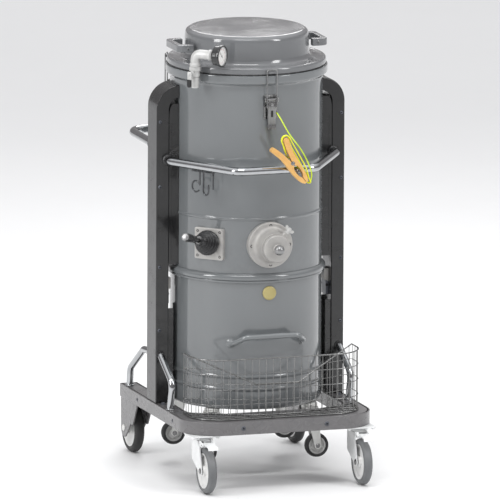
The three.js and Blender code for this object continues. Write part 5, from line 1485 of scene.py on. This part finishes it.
# ---- Wire basket ----
@dataclass
class Basket:
    """The wire basket on the frame's front, its back edge cut down in the middle."""

    half: float = 269.0
    front: float = -365.0
    back: float = -214.0
    middle: float = -310.0
    corner_r: float = 100.0
    base: float = 214.3
    top: float = 401.3
    dip: float = 313.3
    dip_half: float = 67.0
    pitch: float = 22.5
    rim_r: float = 2.2
    wire_r: float = 1.0
    levels: tuple[float, ...] = (262, 308, 354)

    def outline(self, steps: int = 14) -> list[Pair]:
        """The basket's plan along the middle of its wires."""
        half, front = self.half - self.rim_r, self.front + self.rim_r
        r = self.corner_r - self.rim_r
        cx, cy = self.half - self.corner_r, self.front + self.corner_r
        return [(-half, self.back - 4), *arc(-cx, cy, r, 180, 270, steps), *arc(cx, cy, r, 270, 360, steps),
                (half, self.back - 4), (self.dip_half, self.middle - 2), (-self.dip_half, self.middle - 2)]

    def perimeter(self, spacing: float) -> list[Pair]:
        """Evenly spaced places along the plan."""
        ring = [Vector(p) for p in self.outline()]
        ring.append(ring[0])
        total = sum((b - a).length for a, b in zip(ring, ring[1:]))
        count = max(3, round(total / spacing))
        out, need, gone = [], 0.0, 0.0
        for a, b in zip(ring, ring[1:]):
            length = (b - a).length
            while len(out) < count and need <= gone + length:
                spot = a.lerp(b, (need - gone) / length)
                out.append((spot.x, spot.y))
                need = len(out) * total / count
            gone += length
        return out

    def height(self, x: float, y: float) -> float:
        """How high the wires reach at a place of the plan."""
        rise = (abs(x) - self.dip_half) / (self.half - self.dip_half)
        straight = self.middle + rise * (self.back - self.middle)
        if y < min(straight, self.back) - 9 or abs(x) > self.half - 4:
            return self.top
        share = max(0.0, (abs(x) - self.dip_half) / (self.half - self.dip_half))
        return self.dip + share * (self.top - self.dip)

    def walls(self) -> Shape:
        """The rims and the wires of the walls."""
        shape = Shape()
        corners = self.outline()
        top = [Vector((x, y, min(self.height(x, y), self.top) - self.rim_r)) for x, y in corners]
        shape.bar(top, self.rim_r, 12, closed=True)
        shape.bar([Vector((x, y, self.base + self.rim_r)) for x, y in corners], self.rim_r, 12, closed=True)
        for x, y in self.perimeter(self.pitch):
            inward = Vector((-x, -290 - y)).normalized() * 1.8
            spot = (x + inward.x, y + inward.y)
            shape.bar([Vector((*spot, self.base + 1)), Vector((*spot, self.height(x, y) - self.rim_r))],
                      self.wire_r, 8)
        for level in self.levels:
            run: list[Vector] = []
            for x, y in self.ring_from_dip():
                if self.height(x, y) - 3 > level:
                    run.append(Vector((x, y, level)))
                elif len(run) > 1:
                    shape.bar(run, self.wire_r + 0.15, 8)
                    run = []
                else:
                    run = []
            if len(run) > 1:
                shape.bar(run, self.wire_r + 0.15, 8)
        return shape

    def ring_from_dip(self) -> list[Pair]:
        """Close places along the plan, once round from the middle of the dip."""
        places = self.perimeter(8.0)
        start = min(range(len(places)),
                    key=lambda i: abs(places[i][0]) + (0 if places[i][1] > -330 else 1000))
        return [*places[start:], *places[: start + 1]]

    def bottom(self) -> Shape:
        """The wires of the floor."""
        shape = Shape()
        cx, cy = self.half - self.corner_r, self.front + self.corner_r
        z = self.base + 1.3
        count = 11
        for k in range(-count, count + 1):
            x = k * 23.4
            front = self.front + 3
            if abs(x) > cx:
                front = cy - math.sqrt(max(0, (self.corner_r - 3) ** 2 - (abs(x) - cx) ** 2))
            back = self.middle - 2
            if abs(x) > self.dip_half:
                back += (abs(x) - self.dip_half) * (self.back - self.middle) / (self.half - self.dip_half)
            shape.bar([Vector((x, front, z)), Vector((x, back, z))], self.wire_r, 8)
        for y in (-345, -322):
            reach = cx + math.sqrt((self.corner_r - 3) ** 2 - (cy - y) ** 2)
            shape.bar([Vector((-reach, y, z + 2)), Vector((reach, y, z + 2))], self.wire_r + 0.6, 8)
        for sign in (-1, 1):
            for y in (-290, -255):
                slope = (self.half - self.dip_half) / (self.back - self.middle)
                near = self.dip_half + (y - self.middle) * slope
                ends = sorted((sign * (near + 2), sign * (self.half - 6)))
                shape.bar([Vector((ends[0], y, z + 2)), Vector((ends[1], y, z + 2))], self.wire_r + 0.6, 8)
        return shape

    def build(self) -> None:
        """Builds the basket."""
        self.walls().piece("basket_walls", WIRE, "root", ["basket"], angle=50)
        self.bottom().piece("basket_floor", WIRE, "root", slot="chromed_steel", angle=50)


# ---- Drum, container and lid ----
@dataclass
class Drum:
    """The filter chamber: a beaded sheet drum with a rolled collar, and the ring under it."""

    radius: float = 230.0
    sheet: float = 2.5
    low: float = 632.3
    high: float = 1238.0
    seam: float = 798.0
    collar_r: float = 244.5
    collar_low: float = 1213.0
    ring: Pair = (612.3, 632.0)
    ring_r: float = 241.0
    inlet_z: float = 720.0
    sides: int = 144

    def shell(self) -> None:
        """Builds the drum's wall and cuts the inlet's bore and the shaker's hole through it."""
        r, wall = self.radius, self.radius - self.sheet
        profile = [
            (wall, self.low), (r, self.low), (r, self.seam - 5, 2), (r + 2.0, self.seam - 2.6, 1.6),
            (r + 2.2, self.seam + 2.6, 1.6), (r, self.seam + 5, 2), (r, self.collar_low - 7, 5),
            (self.collar_r, self.collar_low + 1, 4), (self.collar_r, self.high - 1, 3),
            (self.collar_r - 3, self.high, 1),
            (wall, self.high), (wall, self.collar_low - 14, 1), (190, self.collar_low - 19, 0.5),
            (190, self.collar_low - 23, 0.5), (wall, self.collar_low - 23, 0.5),
        ]
        shape = Shape().turned(profile, sides=self.sides, steps=5)
        made = shape.piece("drum_wall", DRUM_PAINT, "root", ["filter_chamber"])
        inlet = Shape().turned([(0, 200), (40, 200), (40, 260), (0, 260)], at(0, 0, self.inlet_z) @ OUTWARD,
                               48)
        rod = Shape().turned([(0, 200), (18, 200), (18, 260), (0, 260)],
                             around(-46, self.inlet_z) @ OUTWARD, 32)
        pierce(made, [inlet, rod])

    def clamp_band(self) -> None:
        """Builds the ring that seals the container against the drum."""
        low, high = self.ring
        r = self.ring_r
        profile = [(222, low), (r - 1, low, 1), (r, low + 2, 2), (r, high - 9, 3), (r - 3, high - 4, 4),
                   (self.radius + 1.6, high, 3),
                   (222, high)]
        Shape().turned(profile, sides=self.sides, steps=5).piece("seal_band", DRUM_PAINT, "root",
                                                                 ["clamp_ring"])

    def filter(self) -> None:
        """Builds the pleated filter's flange and end cap, and dresses the pleats."""
        shape = Shape().turned([(0, 1194.5), (202, 1194.5, 1), (204.6, 1197, 2), (202, 1200.2, 1),
                                (120, 1200.2, 2),
                                (116, 1197.6, 2), (0, 1197.6)], sides=96)
        shape.piece("filter_flange", DRUM_PAINT, "root", slot="drum_paint")
        dress("filter_element", CLOTH)

    def build(self) -> None:
        """Builds the drum."""
        self.shell()
        self.clamp_band()
        self.filter()


def dress(node: str, finish: Finish) -> None:
    """Gives a frame node's own object a finish."""
    mesh = frame["nodes"][node].data
    mesh.materials.clear()
    mesh.materials.append(finish.material())


@dataclass
class Container:
    """The dust container: a beaded tub with a rolled rim, a bow handle and a yellow sight plug."""

    radius: float = 230.0
    low: float = 214.0
    high: float = 612.0
    rim_r: float = 238.0
    beads: Pair = (277.0, 315.0)
    plug_z: float = 572.0
    sides: int = 144

    def tub(self) -> None:
        """Builds the tub."""
        r, wall = self.radius, self.radius - 2.5
        profile: list[tuple[float, ...]] = [(0, self.low), (r - 8, self.low, 3), (r, self.low + 8, 5)]
        for z in self.beads:
            profile += [(r, z - 6, 3), (r + 2.4, z - 2, 2), (r + 2.4, z + 2, 2), (r, z + 6, 3)]
        profile += [(r, self.high - 9, 1.5), (self.rim_r, self.high - 8, 2), (self.rim_r, self.high - 1, 2),
                    (self.rim_r - 3, self.high, 1), (wall, self.high, 1), (wall, self.low + 2.5, 4),
                    (0, self.low + 2.5)]
        Shape().turned(profile, sides=self.sides, steps=5).piece("tub", DRUM_PAINT, "container",
                                                                 ["container"])

    def plug(self) -> None:
        """Builds the sight plug."""
        profile = [(0, 226), (9, 226), (9, 230.2), (21.3, 230.2, 0.5), (21.3, 233.6, 1.8), (19.2, 236.2, 2),
                   (12, 236.9, 3),
                   (0, 236.9)]
        shape = Shape().turned(profile, at(0, 0, self.plug_z) @ OUTWARD, 56, steps=5)
        shape.piece("plug_lens", PLUG, "container", ["sight_plug"])

    def handle(self) -> None:
        """Builds the bow handle, with its welded pads."""
        half = [(-112, -204.6, 418), (-108, -231.9, 424), (-84, -264, 445)]
        bow = half + [(-x, y, z) for x, y, z in reversed(half)]
        shape = Shape().bar(rounded(bow, 24, 12), 8.5, 28)
        for sign in (-1, 1):
            turn = math.degrees(math.asin(112 * sign / self.radius))
            flange = [(0, 228.8), (14, 228.8), (14, 231.6, 0.8), (9.4, 233.4, 1.5), (9.4, 236), (0, 236)]
            shape.turned(flange, around(turn, 418) @ OUTWARD, 32)
        shape.piece("tub_handle", HANDLE_PAINT, "container", ["container_handle"], edge=0.5)

    def build(self) -> None:
        """Builds the container."""
        self.tub()
        self.plug()
        self.handle()


@dataclass
class Lid:
    """The pressed lid with its skirt, seal, hand grips and the ejector inside."""

    base: float = 1242.0
    top: float = 1346.0
    top_r: float = 186.0
    side_r: float = 190.0
    skirt_r: float = 239.5
    sheet: float = 3.0
    sides: int = 144

    def shell(self) -> None:
        """Builds the pressed shell and the three catches on its skirt."""
        step = self.base + 18
        profile = [
            (0, self.top), (self.top_r - 13, self.top, 3), (self.top_r - 2.5, self.top - 6.5, 4),
            (self.top_r, self.top - 13, 5), (self.side_r - 0.6, step + 14, 2),
            (self.side_r + 4, step + 3.4, 8),
            (self.side_r + 10, step, 4), (self.skirt_r - 14, step, 2), (self.skirt_r - 11, step + 0.6, 1),
            (self.skirt_r - 3, step + 0.4, 3), (self.skirt_r, step - 4, 3), (self.skirt_r, self.base + 1, 1),
            (self.skirt_r - 0.6, self.base, 0.5), (self.skirt_r - 3, self.base, 0.5),
            (self.skirt_r - 3, step - 5, 2),
            (self.side_r - self.sheet, step - 4, 3), (self.top_r - self.sheet, self.top - 16, 4),
            (self.top_r - 14, self.top - self.sheet, 3), (0, self.top - self.sheet),
        ]
        shape = Shape().turned(profile, sides=self.sides, steps=6)
        shape.piece("lid_shell", LID_PAINT, "lid", ["lid"])
        catches = Shape()
        for angle in (0, 120, 240):
            outline = soften([(-237, self.base + 3, 0), (-246.6, self.base + 3, 1.5),
                              (-246.6, self.base + 11, 1.5),
                              (-243.5, self.base + 11, 1.5), (-242.2, self.base + 9.4, 1),
                              (-237, self.base + 9.4, 0)],
                             3, closed=True)
            catches.slab(outline, -11, 11, around(angle) @ ALONG_X)
            for x in (-6.5, 6.5):
                place = around(angle, self.base + 6.8) @ at(x, 0, 0) @ OUTWARD
                catches.turned([(0, 245), (2.2, 245), (2.0, 247.2, 0.8), (0, 247.4)], place, 14)
        catches.piece("lid_catches", LID_PAINT, "lid", slot="lid_paint", edge=0.5)

    def inside(self) -> None:
        """Builds the seal and the ejector."""
        seal = [(227.5, 1238.2), (240, 1238.2, 1), (241.4, 1240, 1), (240, 1241.8, 1), (227.5, 1241.8)]
        Shape().turned(seal, sides=self.sides).piece("seal_ring", RUBBER, "lid", ["lid_seal"])
        nozzle = [(12, 1272.7, 1), (48, 1274.5, 3), (55, 1284, 3), (55, 1296, 1), (51, 1298, 1),
                  (51, 1304, 1), (55, 1306, 1),
                  (55, 1342.4), (12, 1342.4)]
        Shape().turned(nozzle, sides=56).piece("ejector_nozzle", CAST, "lid", ["ejector"])

    def grip(self, side: str, sign: int) -> None:
        """Builds one hand grip: a moulded loop screwed to the lid's side."""
        near, out, half = self.side_r - 2.4, self.side_r + 48, 65
        outer = [(near, -half), (near + 22, -half), *arc(out - 17, -half + 17, 17, -90, 0, 8),
                 *arc(out - 17, half - 17, 17, 0, 90, 8), (near + 22, half), (near, half)]
        inner = [(near, -half + 20), (near + 14, -half + 20), *arc(out - 17 - 9, -half + 29, 9, -90, 0, 8),
                 *arc(out - 17 - 9, half - 29, 9, 0, 90, 8), (near + 14, half - 20), (near, half - 20)]
        loop = [(x * sign, y) for x, y in outer] + [(x * sign, y) for x, y in reversed(inner)]
        low, high = self.top - 57.5, self.top - 34.5
        shape = Shape().slab(loop, low, high)
        shape.piece(f"hand_grip_{side}", LID_PAINT, "lid", [f"lid_handle_{side}"], edge=3.0)
        bolts = Shape()
        for y in (-half + 10, half - 10):
            place = at(sign * (near + 19), y, (low + high) / 2)
            place = place @ (OUTWARD if y < 0 else OUTWARD.inverted()) @ at(0, 0, 10)
            button_head(bolts, place, 4.2, 1.6, 0, 1)
        bolts.piece(f"grip_bolts_{side}", [STEEL, SHADOW], "lid", slot="bright_steel")

    def build(self) -> None:
        """Builds the lid."""
        self.shell()
        self.inside()
        for side, sign in SIDES:
            self.grip(side, sign)


@dataclass
class AirLine:
    """The compressed-air fittings at the lid's side: hose tail, valve, elbow and pressure gauge."""

    axis: Pair = (-215.63, -162.49)
    bar_r: float = 15.0
    low: float = 1232.0
    run_z: float = 1302.5
    gauge_reach: float = 62.0
    gauge_r: float = 33.0
    depth: float = 32.0
    tilt: float = -53.0
    needle_lean: float = 40.0
    diagonal: float = math.sqrt(0.5)

    def along(self, t: float, z: float | None = None) -> Vector:
        """A point of the elbow's level run, at a distance from its corner."""
        return Vector((self.axis[0] + self.diagonal * t, self.axis[1] - self.diagonal * t, z or self.run_z))

    def elbow(self) -> None:
        """Builds the elbow, the valve body under it and the nipple into the lid."""
        base = at(*self.axis, 0)
        corner = [(*self.axis, self.low + 26), (*self.axis, self.run_z),
                  tuple(self.along(self.gauge_reach - 4))]
        shape = Shape().bar(rounded(corner, 28, 14), self.bar_r - 0.8, 36)
        collar = [(0, 0), (self.bar_r + 0.4, 0, 1), (self.bar_r + 1.6, 3, 1.5), (self.bar_r + 1.6, 9, 1.5),
                  (self.bar_r - 1, 12, 1), (0, 12)]
        shape.turned(collar, base @ at(0, 0, self.low + 32), 36)
        heading = (self.along(1) - self.along(0)).to_track_quat("Z", "Y").to_matrix().to_4x4()
        shape.turned(collar, Matrix.Translation(self.along(self.gauge_reach - 17)) @ heading, 36)
        shape.turned([(0, self.low + 20), (18.6, self.low + 20), (18.6, self.low + 31.6),
                      (0, self.low + 31.6)], base, 6)
        shape.turned([(0, self.low + 0.3), (12.4, self.low + 0.3, 0.8), (14, self.low + 4, 1.2),
                      (14, self.low + 21),
                      (0, self.low + 21)], base, 36)
        start = self.along(44)
        inward = Vector((-start.x, -start.y, 0)).normalized()
        reach = math.hypot(start.x, start.y) - 188.5
        shape.bar([start, start + inward * reach], 10, 28)
        flange = Matrix.Translation(start + inward * (reach - 3.5)) @ inward.to_track_quat("Z",
                "Y").to_matrix().to_4x4()
        shape.turned([(0, -5), (14.5, -5), (14.5, 1), (0, 1)], flange, 6)
        stem = base @ at(0, 0, self.low + 12) @ Matrix.Rotation(math.radians(self.tilt), 4, "Z") @ OUTWARD
        shape.turned([(0, 8), (8.5, 8), (8.5, 17, 1), (6.2, 18.5), (6.2, 21.5, 0.6), (4, 21.5), (4, 27),
                      (0, 27)], stem, 28)
        shape.piece("elbow_fitting", GALVANISED, "lid", ["air_elbow"], edge=0.4)

    def tail(self) -> None:
        """Builds the ribbed hose tail."""
        z = self.low
        profile = [(7, z - 33), (10.4, z - 33, 0.6), (11.8, z - 27), (10.6, z - 27), (11.9, z - 21),
                   (10.6, z - 21),
                   (11.9, z - 15), (10.8, z - 15), (10.8, z - 8), (11.9, z - 7, 0.5), (11.9, z - 0.4),
                   (7, z - 0.4)]
        Shape().turned(profile, at(*self.axis, 0), 36).piece("hose_spigot", GALVANISED, "lid", ["hose_tail"])

    def lever(self) -> None:
        """Builds the valve's lever."""
        place = at(*self.axis, self.low + 12) @ Matrix.Rotation(math.radians(self.tilt), 4, "Z") @ OUTWARD
        blade = soften([(-7, 8, 4), (-7, -8, 3), (-5.6, -38, 4), (5.6, -38, 4), (7, -8, 3), (7, 8, 4)], 4,
                       closed=True)
        shape = Shape().slab(blade, 28.4, 31.2, place)
        shape.turned([(4.6, 22.2), (7.6, 22.2, 0.8), (7.6, 29), (4.6, 29)], place, 24)
        hex_bolt(shape, place @ at(0, 0, 31.0), 5, 2.6)
        shape.piece("valve_handle", GALVANISED, "valve_lever", ["valve_lever"], edge=0.6)
        sleeve = soften([(-6.6, -16, 2), (-6.4, -37, 3), (-3, -39.8, 3), (3, -39.8, 3), (6.4, -37, 3),
                         (6.6, -16, 2)], 4,
                        closed=True)
        grip = Shape().slab(sleeve, 28.1, 33.6, place)
        grip.piece("valve_sleeve", GRIP, "valve_lever", slot="grip_black", edge=1.2)

    def gauge(self) -> None:
        """Builds the gauge: its case, bezel, dial with a scale, glass and needle."""
        place = Matrix.Translation(self.along(self.gauge_reach)) @ Matrix.Rotation(math.radians(45), 4, "Z")
        face = place @ OUTWARD
        r, d = self.gauge_r, self.depth
        case = [(0, 0.3), (12, 0.3, 1), (14, 3, 1), (26, 4, 2), (30, 7, 2), (30.4, d - 11, 1),
                (r - 0.6, d - 9.5, 1),
                (r, d - 8, 1), (r, d - 1.4, 1.4), (r - 1.6, d - 0.2, 1), (r - 3.6, d - 0.2, 0.6),
                (r - 4, d - 2, 0.4),
                (r - 4.2, d - 6, 0.2), (0, d - 6)]
        Shape().turned(case, face, 64).piece("gauge_body", GAUGE_BLACK, "lid", ["gauge_case"])
        dial = Shape().turned([(0, d - 6), (r - 4.4, d - 6), (r - 4.4, d - 5.55), (0, d - 5.55)], face, 64, 0)
        for k in range(41):
            turn = face @ Matrix.Rotation(math.radians(225 - 270 * k / 40), 4, "Z")
            long = 5.2 if k % 10 == 0 else 3.8 if k % 5 == 0 else 2.2
            wide = 0.42 if k % 5 == 0 else 0.22
            dial.box((26 - long, -wide, d - 5.6), (26, wide, d - 5.4), turn, 1)
        band = [(r * 0.62, d - 5.6), (r * 0.64, d - 5.6), (r * 0.64, d - 5.42), (r * 0.62, d - 5.42)]
        dial.turned(band, face, 64, 2)
        dial.piece("gauge_dial", [DIAL, DIAL_INK, DIAL_RED], "lid", slot="gauge_black")
        hand = [(-1.5, -7), (1.5, -7), (0.9, 0), (0.35, 21.6), (-0.35, 21.6), (-0.9, 0)]
        needle = Shape().slab(hand, d - 5.1, d - 4.3,
                              face @ Matrix.Rotation(math.radians(self.needle_lean), 4, "Z"))
        needle.turned([(0, d - 5.2), (2.8, d - 5.2), (2.6, d - 3.4, 0.5), (0, d - 3.2)], face, 28)
        needle.piece("needle", DIAL_INK, "gauge_needle", ["gauge_needle"])
        glass = Shape().turned([(0, d - 2.6), (r - 4.15, d - 2.6), (r - 4.15, d - 1.6), (0, d - 1.6)], face,
                               64)
        glass.piece("gauge_window", GAUGE_GLASS, "lid", slot="gauge_black")

    def build(self) -> None:
        """Builds the air line."""
        self.elbow()
        self.tail()
        self.lever()
        self.gauge()


@dataclass
class Latches:
    """The three toggle latches that hold the lid down."""

    pivot_r: float = 242.0
    pivot_z: float = 1165.0
    angles: tuple[int, ...] = (0, 120, 240)
    bail_r: float = 1.75
    bail_half: float = 15.5
    bail_at: float = 247.5
    bail_top: float = 1256.55

    def base(self, number: int, angle: int) -> None:
        """Builds a latch's plate with its two ears, its rivets and its pin."""
        place, z = around(angle), self.pivot_z
        plate = soften([(-21.4, z - 60, 5), (21.4, z - 60, 5), (21.4, z + 14, 3), (-21.4, z + 14, 3)], 4,
                       closed=True)
        shape = Shape().slab(plate, 228.6, 232.4, place @ OUTWARD)
        ear = soften([(-230, z - 22, 0), (-230, z + 12, 0), (-248, z + 6.5, 6), (-248, z - 6.5, 6)], 4,
                     closed=True)
        for side in (-1, 1):
            edges = sorted((side * 18.5, side * 21.4))
            shape.slab(ear, edges[0], edges[1], place @ ALONG_X)
        shape.bar([Vector((-22.6, -self.pivot_r, z)), Vector((22.6, -self.pivot_r, z))], 2.9, 20, place)
        for x, dz in ((-15, -52), (15, -52), (0, 9)):
            shape.turned([(0, 232), (3, 232), (2.6, 233.6, 0.8), (0, 234)],
                         place @ at(x, 0, z + dz) @ OUTWARD, 20)
        shape.piece(f"latch_plate_{number}", STEEL, "root", slot="bright_steel", edge=0.5)

    def lever(self, number: int, angle: int) -> None:
        """Builds a latch's lever: a pressed channel with a slot, drawn as a near-black slab of painted shade,
        and a rivet.
        """
        z, r = self.pivot_z, self.pivot_r
        place = around(angle)
        outline = soften([(-r + 5, z + 4, 2), (-r + 2.5, z - 30, 6), (-r + 4, z - 80, 6), (-r - 6, z - 90, 3),
                          (-r - 8, z - 88, 1.5), (-r - 4, z - 74, 8), (-r - 6, z - 18, 4),
                          (-r - 9.2, z - 24.4, 3),
                          (-r - 8.8, z - 14, 3), (-r - 5, z + 4, 3), (-r, z + 6, 3)], 4, closed=True)
        shape = Shape()
        for side in (-1, 1):
            edges = sorted((side * 10.6, side * 12.4))
            shape.slab(outline, edges[0], edges[1], place @ ALONG_X, 0)
        web = soften([(-r - 4.2, z - 4, 2), (-r - 7.2, z - 20, 4), (-r - 4.8, z - 74, 8), (-r - 8, z - 88, 2),
                      (-r - 6.6, z - 89, 1), (-r - 3.2, z - 74, 8), (-r - 5.4, z - 20, 4),
                      (-r - 2.2, z - 4, 2)], 5, closed=True)
        shape.slab(web, -11, 11, place @ ALONG_X, 0)
        shape.turned([(0, r + 5.4), (5.2, r + 5.4), (4.8, r + 8.4, 1.6), (0, r + 9)],
                     place @ at(0, 0, z - 15) @ OUTWARD, 28, 0)
        # The slot is a thin slab with the near-black finish: painted shade, not a cut.
        slot = soften([(-3.2, z - 52, 2), (3.2, z - 52, 2), (3.2, z - 32, 2), (-3.2, z - 32, 2)], 4,
                      closed=True)
        shape.slab(slot, r + 4, r + 6.9, place @ OUTWARD, 1)
        shape.bar([Vector((-12.6, -r, z)), Vector((12.6, -r, z))], 4.6, 20, place, 0)
        shape.piece(f"lever_{number}", [STEEL, SHADOW], f"latch_lever_{number}", [f"latch_lever_{number}"],
                    edge=0.35)

    def bail(self, number: int, angle: int) -> None:
        """Builds a latch's wire bail."""
        low, half, y = self.pivot_z - 24.4, self.bail_half, -self.bail_at
        loop = [(0, y, low), (half, y, low), (half, y, self.bail_top), (-half, y, self.bail_top),
                (-half, y, low), (0.2, y, low)]
        line = rounded(loop, 4.5, 8)
        shape = Shape().bar(line, self.bail_r, 16, around(angle))
        shape.piece(f"bail_{number}", STEEL, f"latch_bail_{number}", [f"latch_bail_{number}"], angle=50)

    def build(self) -> None:
        """Builds the three latches."""
        for number, angle in enumerate(self.angles, 1):
            self.base(number, angle)
            self.lever(number, angle)
            self.bail(number, angle)


# ---- Inlet and filter shaker ----
@dataclass
class Inlet:
    """The cast inlet flange with its spigot, the screw that holds the hose, and the cap."""

    z: float = 720.0
    face: float = 242.0
    mouth: float = 290.0
    flange_r: float = 70.0
    bore: float = 35.0

    def place(self) -> Matrix:
        """The inlet's axis, its Z outwards."""
        return at(0, 0, self.z) @ OUTWARD

    def flange(self) -> None:
        """Builds the flange, its dished saddle and its four socket screws; the screws are near-black all
        over, painted as the shade of their holes.
        """
        body = [(self.bore, 219), (self.flange_r - 1, 219), (self.flange_r, 234, 1),
                (self.flange_r, self.face - 1.5, 1.8),
                (self.flange_r - 3.5, self.face, 2), (57, self.face + 0.6, 4), (50, self.face + 6, 6),
                (47, self.face + 16, 4), (44, self.mouth - 1, 1), (43, self.mouth, 0.5),
                (self.bore, self.mouth, 1)]
        shape = Shape().turned(body, self.place(), 96, steps=6)
        ray = Matrix.Rotation(math.radians(45), 4, "Y") @ at(0, 0, 0)
        boss = at(0, -(self.face + 26.4), self.z) @ ray
        shape.turned([(4.4, 38), (9.6, 38), (9.0, 54, 1), (8.2, 55.8, 0.8), (4.4, 55.8)], boss, 36)
        shape.piece("inlet_casting", CAST, "root", ["inlet_flange"], edge=0.5)
        screws = Shape()
        for k in range(4):
            turn = self.place() @ Matrix.Rotation(math.radians(90 * k), 4, "Z") @ at(59.5, 0, self.face - 0.8)
            screws.turned([(0, -0.5), (5, -0.5), (5, 1.3, 0.4), (2.8, 1.5), (2.7, 0.5), (0, 0.5)], turn, 24,
                          0)
        # The screws take only the near-black finish: painted shade of screw holes.
        screws.piece("inlet_screws", [SHADOW], "root", slot="bright_steel")

    def cap(self) -> None:
        """Builds the cap: a turned lid with a plug behind it and a ball knob."""
        m = self.mouth
        profile = [(0, m - 15), (30, m - 15, 1), (33.6, m - 12, 1), (33.6, m + 0.4), (41, m + 0.4, 0.6),
                   (42, m + 2, 0.8),
                   (42, m + 13, 2), (40.4, m + 16.4, 2), (36, m + 17, 1), (14, m + 17, 1), (11, m + 19, 1),
                   (9.4, m + 23)]
        shape = Shape().turned([*profile, (0, m + 23)], self.place(), 80, 0, steps=5)
        ball = [(0, m + 20), (7.6, m + 20), *[(x, y + m + 36) for x, y in arc(0, 0, 16, -62, 90, 16)]]
        ball[-1] = (0, m + 52)
        shape.turned(ball, self.place(), 48, 1)
        shape.piece("cap_turning", [CAST, DULL_BALL], "inlet_cap", ["inlet_cap"], angle=50)

    def screw(self) -> None:
        """Builds the wing screw that clamps the hose end."""
        place = at(0, -(self.face + 26.4), self.z) @ Matrix.Rotation(math.radians(45), 4, "Y")
        shape = Shape().turned([(0, 37.6), (3.9, 37.6, 0.5), (3.9, 57), (0, 57)], place, 24)
        shape.turned([(0, 56.6), (8, 56.6), (8, 60.6), (0, 60.6)], place, 6)
        shape.turned([(0, 60), (5.2, 60, 1), (4.4, 72, 2), (4.8, 76.6, 1), (0, 76.8)], place, 28)
        wing = soften([(-3, 62, 1), (-16, 68, 5), (-16.8, 76, 4), (-10, 76.6, 4), (-3, 70, 3), (3, 70, 3),
                       (10, 76.6, 4),
                       (16.8, 76, 4), (16, 68, 5), (3, 62, 1)], 5, closed=True)
        shape.slab(wing, -2, 2, place @ OUTWARD)
        shape.piece("wing_screw", GALVANISED, "inlet_screw", ["inlet_screw"], edge=0.8)

    def build(self) -> None:
        """Builds the inlet."""
        self.flange()
        self.cap()
        self.screw()


@dataclass
class Shaker:
    """The filter shaker: a square plate, a rubber boot and the lever through it."""

    angle: float = -46.0
    z: float = 720.0
    face: float = 239.0
    half: float = 47.5
    tilt: float = 16.0
    rod_r: float = 6.0
    length: float = 172.0

    def tilted(self) -> Matrix:
        """The lever's own axis, its Z outwards and a little upwards."""
        lift = Matrix.Rotation(-math.radians(self.tilt), 4, "X")
        return around(self.angle, self.z) @ at(0, -230, 0) @ lift @ OUTWARD

    def plate(self) -> None:
        """Builds the cast plate and its four screws, near-black all over as painted shade of their holes."""
        h = self.half
        outline = soften([(-h, -h, 5), (h, -h, 5), (h, h, 5), (-h, h, 5)], 5, closed=True)
        place = around(self.angle, self.z) @ OUTWARD
        shape = Shape().slab(outline, 224.6, self.face, place)
        shape.turned([(20, self.face - 2), (42, self.face - 2), (41, self.face + 1.6, 1),
                      (20, self.face + 1.6)], place, 64)
        made = shape.piece("shaker_casting", CAST, "root", ["shaker_plate"], edge=0.9)
        pierce(made, [Shape().turned([(0, 200), (20, 200), (20, 260), (0, 260)], place, 36)])
        screws = Shape()
        for x in (-37.5, 37.5):
            for y in (-37.5, 37.5):
                spot = place @ at(x, y, self.face - 0.5)
                screws.turned([(0, -0.5), (4, -0.5), (4, 1.1, 0.4), (2.4, 1.3), (2.3, 0.4), (0, 0.4)], spot,
                              24)
        # The screws take only the near-black finish: painted shade of screw holes.
        screws.piece("shaker_screws", SHADOW, "root", slot="bright_steel")

    def boot(self) -> None:
        """Builds the bellows between the plate and the lever, as a piece on no body, baked in place."""
        profile: list[tuple[float, ...]] = [(self.rod_r + 1.2, 13), (38, 12.6, 1), (39, 16, 2), (36, 20.5, 2)]
        folds = 5
        for k in range(folds):
            low = 21 + 9.6 * k
            wide = 37 - 4.0 * k
            profile += [(wide - 6.5, low + 1.2, 1.6), (wide, low + 5.0, 2.2), (wide - 1.2, low + 7.6, 1.4)]
        profile += [(15.5, 71, 2), (14, 76.6, 1.5), (self.rod_r + 1.2, 77)]
        shape = Shape().turned(profile, self.tilted(), 64, steps=4)
        made = shape.piece("boot_bellows", RUBBER, "root", ["shaker_boot"], angle=70)
        made.parent = None
        made.matrix_world = Matrix.Identity(4)
        del made["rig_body"]
        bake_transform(made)

    def lever(self) -> None:
        """Builds the lever's rod, its grip and the pale cap on its end."""
        n = self.length
        rod = Shape().turned([(0, -18), (self.rod_r, -18, 1), (self.rod_r, -8), (11, -5, 2), (11, 5, 2),
                              (self.rod_r, 8),
                              (self.rod_r, n - 66), (0, n - 66)], self.tilted(), 32)
        rod.piece("shaker_rod", STEEL, "shaker_lever", ["shaker_lever"])
        grip = [(self.rod_r - 1, n - 71), (9.6, n - 71, 1.5), (11.6, n - 66, 2), (10.6, n - 58, 2),
                (12.2, n - 46, 4),
                (12.9, n - 30, 6), (12.4, n - 14, 3), (11.4, n - 10, 1), (self.rod_r - 1, n - 10)]
        Shape().turned(grip, self.tilted(), 48, steps=5).piece("shaker_grip", GRIP, "shaker_lever",
                                                               slot="grip_black")
        cap = [(0, n - 11), (10.8, n - 11), (11.8, n - 8, 1), (11.4, n - 3, 2.4), (7.6, n, 2), (0, n)]
        Shape().turned(cap, self.tilted(), 48, steps=5).piece("shaker_cap", DULL_BALL, "shaker_lever",
                                                              slot="zinc_steel")

    def build(self) -> None:
        """Builds the shaker."""
        self.plate()
        self.boot()
        self.lever()


def main() -> None:
    """Builds the studio and then the machine, sub-assembly by sub-assembly."""
    logging.basicConfig(level=logging.INFO, format="%(message)s")
    assemblies = [Studio(), EarthClamp(), Chassis(), RunningGear(), Columns(), Tubes(), Basket(), Drum(),
                  Container(),
                  Lid(), AirLine(), Latches(), Inlet(), Shaker()]
    for assembly in assemblies:
        LOG.info("building %s", type(assembly).__name__)
        assembly.build()


if __name__ == "__main__":
    main()
